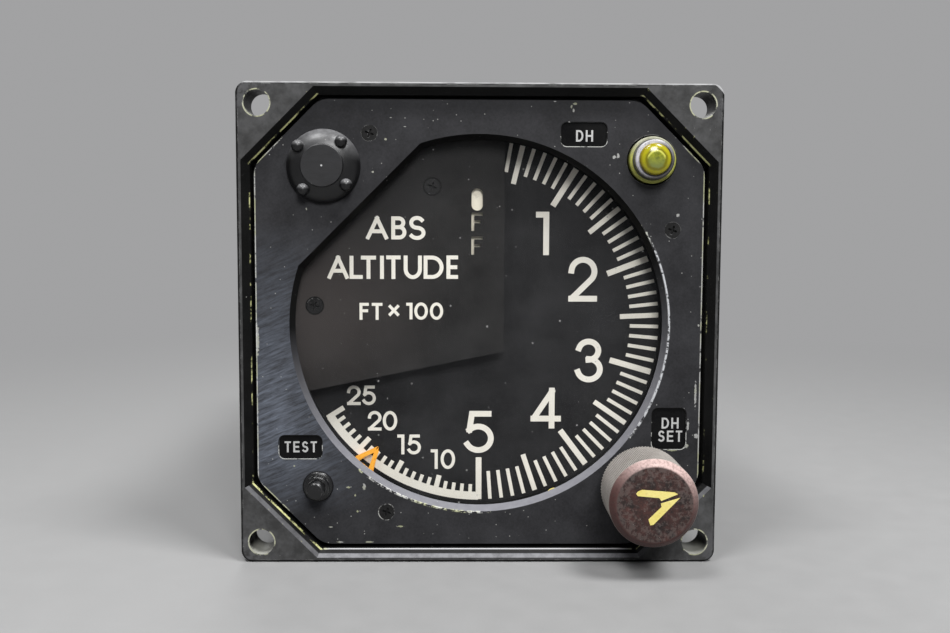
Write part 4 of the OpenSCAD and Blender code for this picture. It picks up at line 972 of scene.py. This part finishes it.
# Words on the mask: left, right, foot and top of each letter
MASK_TITLE = [
    ("A", -19.92, -16.07, 14.83, 18.86), ("B", -15.50, -12.84, 14.83, 18.86),
    ("S", -12.47, -9.49, 14.75, 18.95), ("A", -26.72, -23.02, 7.86, 11.92),
    ("L", -22.85, -20.54, 7.86, 11.92), ("T", -20.85, -18.20, 7.86, 11.95),
    ("I", -17.56, -16.74, 7.86, 11.95), ("T", -16.40, -13.87, 7.86, 12.0),
    ("U", -13.32, -10.12, 7.86, 12.0), ("D", -9.81, -6.30, 7.90, 12.0),
    ("E", -5.78, -3.74, 7.92, 12.04),
]
MASK_UNITS = [
    ("F", -21.14, -19.49, 0.62, 3.62), ("T", -18.97, -17.09, 0.62, 3.62),
    ("x", -15.99, -14.14, 1.33, 3.25), ("1", -12.88, -11.78, 0.72, 3.66),
    ("0", -11.46, -9.06, 0.66, 3.72), ("0", -8.70, -6.36, 0.66, 3.72),
]


def square_end(points, reach):
    first = Vector(points[0])
    last = Vector(points[-1])
    if (first - last).length < 0.001:
        return points
    lead = (first - Vector(points[1])).normalized() * reach
    tail = (last - Vector(points[-2])).normalized() * reach
    return [tuple(first + lead), *points[1:-1], tuple(last + tail)]


def add_stroke(bm, points, y):
    closed = (Vector(points[0]) - Vector(points[-1])).length < 0.001
    if closed:
        points = points[:-1]
    line = [bm.verts.new(at(x, y, z)) for x, z in points]
    pairs = list(zip(line, line[1:]))
    if closed:
        pairs.append((line[-1], line[0]))
    for pair in pairs:
        bm.edges.new(pair)


# Each stroke of a sign stands a hair prouder than the one before, so that no two faces lie in one plane
def add_glyph(bm, sign, box, stroke, y):
    x0, x1, z0, z1 = box
    half = stroke / 2
    for layer, path in enumerate(GLYPHS[sign]):
        points = [
            (x0 + half + u * (x1 - x0 - stroke), z0 + half + v * (z1 - z0 - stroke)) for u, v in path
        ]
        add_stroke(bm, square_end(points, half), y - LAYER_STEP * layer)


def lift(bm, grown, thick):
    lifted = [v for v in grown["geom"] if isinstance(v, bmesh.types.BMVert)]
    bmesh.ops.translate(bm, verts=lifted, vec=at(0.0, thick, 0.0))


def stroke_piece(name, bm, stroke, thick, finish, body):
    lift(bm, bmesh.ops.extrude_edge_only(bm, edges=bm.edges[:]), thick)
    made = piece_of(name, bm, finish, body)
    solid = made.modifiers.new("stroke", "SOLIDIFY")
    solid.thickness = stroke * MM
    solid.offset = 0.0
    solid.use_even_offset = True
    solid.use_rim = True


def print_on(name, bm, stroke):
    stroke_piece(name, bm, stroke, PRINT_THICK, FIGURE_PAINT, "indicator")


def centred(x, z, wide, high):
    return (x - wide / 2, x + wide / 2, z - high / 2, z + high / 2)


def dial_figures():
    front = DIAL_Y - PRINT_RISE
    bm = bmesh.new()
    for sign, box in LARGE_FIGURES.items():
        add_glyph(bm, sign, centred(*box), LARGE_STROKE, front)
    print_on("dial_figures", bm, LARGE_STROKE)
    bm = bmesh.new()
    for (first, second), box in SMALL_FIGURES.items():
        x0, x1, z0, z1 = centred(*box)
        add_glyph(bm, first, (x0, x0 + SMALL_FIGURE_W[first], z0, z1), SMALL_STROKE, front)
        add_glyph(bm, second, (x1 - SMALL_FIGURE_W[second], x1, z0, z1), SMALL_STROKE, front)
    print_on("dial_small_figures", bm, SMALL_STROKE)


def dial_deg(feet):
    if feet <= 500:
        return ZERO_DEG + LOW_SCALE_DEG * feet / 100
    return ZERO_DEG + LOW_SCALE_DEG * 5 + HIGH_SCALE_DEG * (feet - 500) / 100


def mark_size(feet):
    if feet > 500:
        return (3.7, 0.95) if feet % 500 == 0 else (2.9, 0.7)
    if feet % 100 == 0:
        return (7.9, 1.1)
    return (7.1, 0.95) if feet % 50 == 0 else (5.3, 0.7)


def scale_marks():
    bm = bmesh.new()
    for feet in [*range(40, 501, 10), *range(600, 2501, 100)]:
        long, wide = mark_size(feet)
        turn = Matrix.Rotation(math.radians(dial_deg(feet)), 4, "Y")
        middle = SCALE_R - 0.07 - (long - 0.1) / 2
        shift = Matrix.Translation(at(0.0, DIAL_Y + 0.055, middle))
        size = Matrix.Diagonal((*at(wide - 0.04, 0.09, long - 0.14), 1.0))
        bmesh.ops.create_cube(bm, size=1.0, matrix=turn @ shift @ size)
    made = piece_of("scale_marks", bm, SCALE_PAINT, "indicator")
    soft = made.modifiers.new("soft_corners", "BEVEL")
    soft.width = 0.12 * MM
    soft.segments = 2
    soft.limit_method = "ANGLE"


def scale_band():
    bm = bmesh.new()
    first = dial_deg(500) + 0.1
    last = dial_deg(2500) - 0.1
    radius = SCALE_R - 0.75
    turns = [math.radians(first + (last - first) * i / 60) for i in range(61)]
    add_stroke(bm, [(radius * math.sin(t), radius * math.cos(t)) for t in turns], DIAL_Y + 0.012)
    stroke_piece("scale_band", bm, 1.46, 0.09, FIGURE_PAINT, "indicator")


def mask_words(name, letters, stroke):
    bm = bmesh.new()
    for sign, *box in letters:
        add_glyph(bm, sign, box, stroke, MASK_Y - PRINT_RISE)
    print_on(name, bm, stroke)


def rounded_box_path(x, z, wide, high, corner):
    path = []
    for sx, sz, start in ((1, 1, 0), (-1, 1, 90), (-1, -1, 180), (1, -1, 270)):
        cx = x + sx * (wide / 2 - corner)
        cz = z + sz * (high / 2 - corner)
        path += arc(cx, cz, corner, corner, start, start + 90, 6)
    return path


def fill_path(bm, path, y, thick):
    line = [bm.verts.new(at(px, y, pz)) for px, pz in path]
    edges = [bm.edges.new((a, b)) for a, b in zip(line, line[1:] + line[:1])]
    made = bmesh.ops.contextual_create(bm, geom=edges)
    lift(bm, bmesh.ops.extrude_face_region(bm, geom=made["faces"]), thick)


def legend_plates():
    tiles = bmesh.new()
    rims = bmesh.new()
    letters = bmesh.new()
    for (x, z), (wide, high), words in LEGENDS.values():
        tile = rounded_box_path(x, z, wide - 0.06, high - 0.06, 0.97)
        fill_path(tiles, tile, LEGEND_FLOOR_Y - 0.06, 0.05)
        rim = rounded_box_path(x, z, wide + 0.1, high + 0.1, 1.05)
        add_stroke(rims, rim + rim[:1], PANEL_Y - 0.015)
        for word, word_x, word_z, word_w, word_h in words:
            x0, _, z0, z1 = centred(word_x, word_z, word_w, word_h)
            step = (word_w + LEGEND_GAP) / len(word)
            for i, sign in enumerate(word):
                left = x0 + i * step
                box = (left, left + step - LEGEND_GAP, z0, z1)
                add_glyph(letters, sign, box, LEGEND_STROKE, LEGEND_FLOOR_Y - 0.09)
    piece_of("legend_tiles", tiles, LEGEND_BLACK, "indicator")
    stroke_piece("legend_rims", rims, 0.12, 0.02, RIM_WEAR_AND_LIGHT, "indicator")
    stroke_piece("legend_letters", letters, LEGEND_STROKE, 0.025, LEGEND_WHITE, "indicator")


def cut_knurl(bm, high, low, pitch):
    centre = at(KNOB[0], 0.0, KNOB[1])
    for v in bm.verts:
        reach = (v.co.x - centre.x, v.co.z - centre.z)
        radius = math.hypot(*reach) / MM
        y = v.co.y / MM
        if radius > KNOB_R - 0.02 and high + 0.1 < y < low - 0.1:
            across = math.atan2(reach[1], reach[0]) * KNURL_TEETH / (2.0 * math.pi)
            along = (y - high) / pitch
            first = abs((across + along) % 1.0 - 0.5) * 2.0
            second = abs((across - along) % 1.0 - 0.5) * 2.0
            depth = KNURL_DEPTH * max(first, second)
            v.co.x = centre.x + reach[0] * (1.0 - depth / KNOB_R)
            v.co.z = centre.z + reach[1] * (1.0 - depth / KNOB_R)


def setting_knob():
    bm = bmesh.new()
    face = KNOB_FRONT_Y + 0.05
    high = KNOB_FRONT_Y + 1.3
    low = KNOB_BACK_Y - 0.35
    collar = KNOB_BACK_Y - 1.2
    pitch = 2.0 * math.pi * KNOB_R / KNURL_TEETH
    rows = int((low - high) / pitch) * 4
    profile = [(0.0, face), (3.0, face), (6.1, face), (6.35, face + 0.04), (6.55, face + 0.16)]
    profile += [(6.78, face + 0.44), (6.98, face + 0.7), (7.16, face + 0.98)]
    profile += [(KNOB_R, high + pitch * i / 4) for i in range(rows + 1)]
    profile += [(KNOB_R - 0.3, KNOB_BACK_Y), (5.6, KNOB_BACK_Y), (5.6, collar), (3.2, collar)]
    spin_profile(bm, KNOB, profile, KNURL_TEETH * 4)
    cut_knurl(bm, high, low, pitch)
    piece_of("setting_knob_body", bm, FINISHES["knob_brown"], "setting_knob", "knob", 40)
    arrow = bmesh.new()
    lit_upper_side = [
        (25.36, -26.14), (25.63, -25.78), (26.33, -25.46), (31.65, -25.89),
        (32.2, -26.2), (29.49, -27.32), (29.16, -26.84), (25.64, -26.52),
    ]
    lower = [
        (32.6, -26.77), (29.42, -27.73), (29.55, -28.32),
        (27.46, -30.38), (27.76, -31.38), (28.31, -31.26),
    ]
    for outline in (lit_upper_side, lower):
        fill_path(arrow, outline, KNOB_FRONT_Y + 0.02, 0.04)
    piece_of("knob_arrow", arrow, ARROW_YELLOW, "setting_knob")


def smooth_lamp_cap():
    bm = bmesh.new()
    top = PANEL_Y - 2.8
    seat = PANEL_Y - 0.1
    stem = PANEL_Y + 0.9
    dome = []
    for angle in range(25, 76, 5):
        turn = math.radians(angle)
        dome.append((3.68 + 4.8 * (math.sin(turn) - 0.4226), top + 0.35 + 3.0 * (0.9063 - math.cos(turn))))
    profile = [(0.0, top + 0.12), (0.12, top), (3.5, top), (3.6, top + 0.06), (3.64, top + 0.4)]
    profile += dome + [(6.36, seat), (2.0, seat), (2.0, stem), (0.6, stem)]
    spin_profile(bm, CAP, profile, 96)
    for turn in (51.4, 141.4, 231.4, 321.4):
        nub_x = CAP[0] + 5.2 * math.cos(math.radians(turn))
        nub_z = CAP[1] + 5.2 * math.sin(math.radians(turn))
        place = Matrix.Translation(at(nub_x, top + 0.68, nub_z))
        bmesh.ops.create_uvsphere(bm, u_segments=28, v_segments=18, radius=1.08 * MM, matrix=place)
    piece_of("lamp_cap_body", bm, FINISHES["cap_black"], "lamp_cover", "lamp_cap", 28)


def smooth_lens():
    bm = bmesh.new()
    top = PANEL_Y - 4.3
    back = PANEL_Y + 0.6
    turns = [math.radians(angle) for angle in range(0, 91, 9)]
    profile = [(2.62 * math.sin(t), top + 0.75 * (1 - math.cos(t))) for t in turns]
    profile += [(2.7, top + 0.9), (2.7, back), (1.4, back)]
    spin_profile(bm, LAMP, profile, 72)
    piece_of("lens_body", bm, FINISHES["lens_yellow"], "indicator", "dh_lens", 45)


def smooth_bushing():
    bm = bmesh.new()
    top = PANEL_Y - 2.0
    flange = PANEL_Y - 0.15
    seat = PANEL_Y - 0.01
    back = -0.2
    turns = [math.radians(angle) for angle in range(75, -1, -15)]
    profile = [(1.56, top), (1.9, top), (2.05, PANEL_Y - 1.88), (2.1, PANEL_Y - 0.72)]
    profile += [(2.7 - 0.62 * (1 - math.cos(t)), flange - 0.55 * math.sin(t)) for t in turns]
    profile += [(2.7, seat), (2.3, seat), (2.3, back), (1.56, back), (1.56, top)]
    spin_profile(bm, BUTTON, profile, 72)
    piece_of("bushing_body", bm, FINISHES["button_black"], "indicator", "test_bushing", 45)


def ring_dabs():
    bm = bmesh.new()
    for x, z, wide in ((13.47, -30.75, 0.62), (9.48, -32.42, 0.45)):
        outward = math.atan2(x, z)
        place = Matrix.Translation(at(x, RING_Y - 0.02, z)) @ Matrix.Rotation(outward, 4, "Y")
        size = Matrix.Diagonal((wide * 1.5 * MM, 0.05 * MM, wide * 0.8 * MM, 1.0))
        bmesh.ops.create_icosphere(bm, subdivisions=3, radius=1.0, matrix=place @ size)
    piece_of("ring_paint_dabs", bm, ARROW_YELLOW, "bug", smooth_deg=60)


def bug_strokes():
    bm = bmesh.new()
    add_stroke(bm, [(-21.95, -24.6), (-18.4, -22.98)], RING_Y - 0.53)
    add_stroke(bm, [(-19.5, -26.8), (-18.28, -23.15)], RING_Y - 0.54)
    stroke_piece("bug_strokes", bm, 0.78, 0.05, FINISHES["bug_orange"], "bug")


def flag_facing():
    bm = bmesh.new()
    front = MASK_Y + 0.65
    back = FLAG_Y + 0.04
    middle = at(FLAG_VANE[0], (front + back) / 2, FLAG_VANE[1])
    size = Matrix.Diagonal((3.3 * MM, (back - front) * MM, 12.9 * MM, 1.0))
    bmesh.ops.create_cube(bm, size=1.0, matrix=Matrix.Translation(middle) @ size)
    piece_of("flag_facing", bm, FINISHES["ivory"], "off_flag")


dial_figures()
scale_marks()
scale_band()
bug_strokes()
flag_facing()
mask_words("mask_title", MASK_TITLE, TITLE_STROKE)
mask_words("mask_units", MASK_UNITS, UNITS_STROKE)
legend_plates()
setting_knob()
smooth_lamp_cap()
smooth_lens()
smooth_bushing()
ring_dabs()


# Floor, lamps, background and camera: lamps with their place in metres, power and width
BACKGROUND = (0.36, 0.36, 0.365)
FLOOR_Z = -41.42
LAMPS = (
    ("overhead_left", (-0.22, -0.25, 0.66), 3.0, 0.2),
    ("overhead_right", (0.28, -0.25, 0.66), 5.6, 0.24),
    ("front_key", (0.08, -0.62, 0.44), 4.0, 0.24),
    ("back_rim", (-0.12, 0.66, 0.5), 2.4, 0.3),
)
CAMERA_AT = (-3.5, -187.0, 16.6)
CAMERA_DOWN_DEG = 4.72
CAMERA_ASIDE_DEG = 0.86
CAMERA_ROLL_DEG = 0.24
CAMERA_LENS = 39.87


def seen_rays(tree):
    rays = add(tree, "ShaderNodeLightPath").outputs
    return most(tree, rays["Is Camera Ray"], rays["Is Glossy Ray"], rays["Is Transmission Ray"])


def floor_paper():
    made, tree, surface = surface_of("floor_paper")
    place = place_of(tree)
    coat = skin(tree, place, (0.245, 0.245, 0.245), (0.262, 0.262, 0.262), 0.8, 0.1)
    seen = seen_rays(tree)
    colour = tint(tree, seen, (0.12, 0.12, 0.12), coat["Colour"])
    finish_skin(tree, surface, colour, coat["Rough"], coat["Normal"])
    # Where it is seen, the far floor runs into the plain background
    far = times(tree, span(tree, length(tree, place), 110.0, 420.0), seen)
    paper = tree.nodes["Principled BSDF"].outputs[0]
    beyond = add(tree, "ShaderNodeEmission", {"Color": BACKGROUND}).outputs[0]
    whole = add(tree, "ShaderNodeMixShader", {0: far, 1: paper, 2: beyond}).outputs[0]
    join(tree, tree.nodes["Material Output"].inputs["Surface"], whole)
    return made


def lay_floor():
    mesh = bpy.data.meshes.new("floor")
    bm = bmesh.new()
    bmesh.ops.create_grid(bm, x_segments=1, y_segments=1, size=3.0)
    bm.to_mesh(mesh)
    bm.free()
    mesh.materials.append(floor_paper())
    floor = bpy.data.objects.new("floor", mesh)
    floor.location = at(0.0, 0.0, FLOOR_Z)
    bpy.context.scene.collection.objects.link(floor)


def hang_lamps():
    for name, place, power, size in LAMPS:
        lamp = bpy.data.lights.new(name, "AREA")
        lamp.energy = power
        lamp.size = size
        held = bpy.data.objects.new(name, lamp)
        held.location = place
        held.rotation_euler = (-Vector(place)).to_track_quat("-Z", "Y").to_euler()
        bpy.context.scene.collection.objects.link(held)


def set_background():
    world = bpy.data.worlds.new("studio")
    bpy.context.scene.world = world
    world.use_nodes = True
    tree = world.node_tree
    tree.nodes.clear()
    ambient = add(tree, "ShaderNodeBackground", {"Color": (0.92, 0.95, 1.0), "Strength": 0.11}).outputs[0]
    backdrop = add(tree, "ShaderNodeBackground", {"Color": BACKGROUND, "Strength": 1.0}).outputs[0]
    mixed = add(tree, "ShaderNodeMixShader", {0: seen_rays(tree), 1: ambient, 2: backdrop}).outputs[0]
    add(tree, "ShaderNodeOutputWorld", {"Surface": mixed})


def set_camera():
    data = bpy.data.cameras.new("camera")
    data.lens = CAMERA_LENS
    data.sensor_width = 36.0
    data.clip_start = 0.01
    data.clip_end = 20.0
    held = bpy.data.objects.new("camera", data)
    down = math.radians(CAMERA_DOWN_DEG)
    aside = math.radians(CAMERA_ASIDE_DEG)
    roll = math.radians(CAMERA_ROLL_DEG)
    forward = Vector((math.sin(aside) * math.cos(down), math.cos(aside) * math.cos(down), -math.sin(down)))
    right = Vector((math.cos(aside), -math.sin(aside), 0.0))
    up = right.cross(forward)
    level = right * math.cos(roll) + up * math.sin(roll)
    above = up * math.cos(roll) - right * math.sin(roll)
    turned = Matrix((level, above, -forward)).transposed().to_4x4()
    held.matrix_world = Matrix.Translation(at(*CAMERA_AT)) @ turned
    bpy.context.scene.collection.objects.link(held)
    bpy.context.scene.camera = held


lay_floor()
hang_lamps()
set_background()
set_camera()
bpy.context.scene.view_settings.view_transform = "Standard"
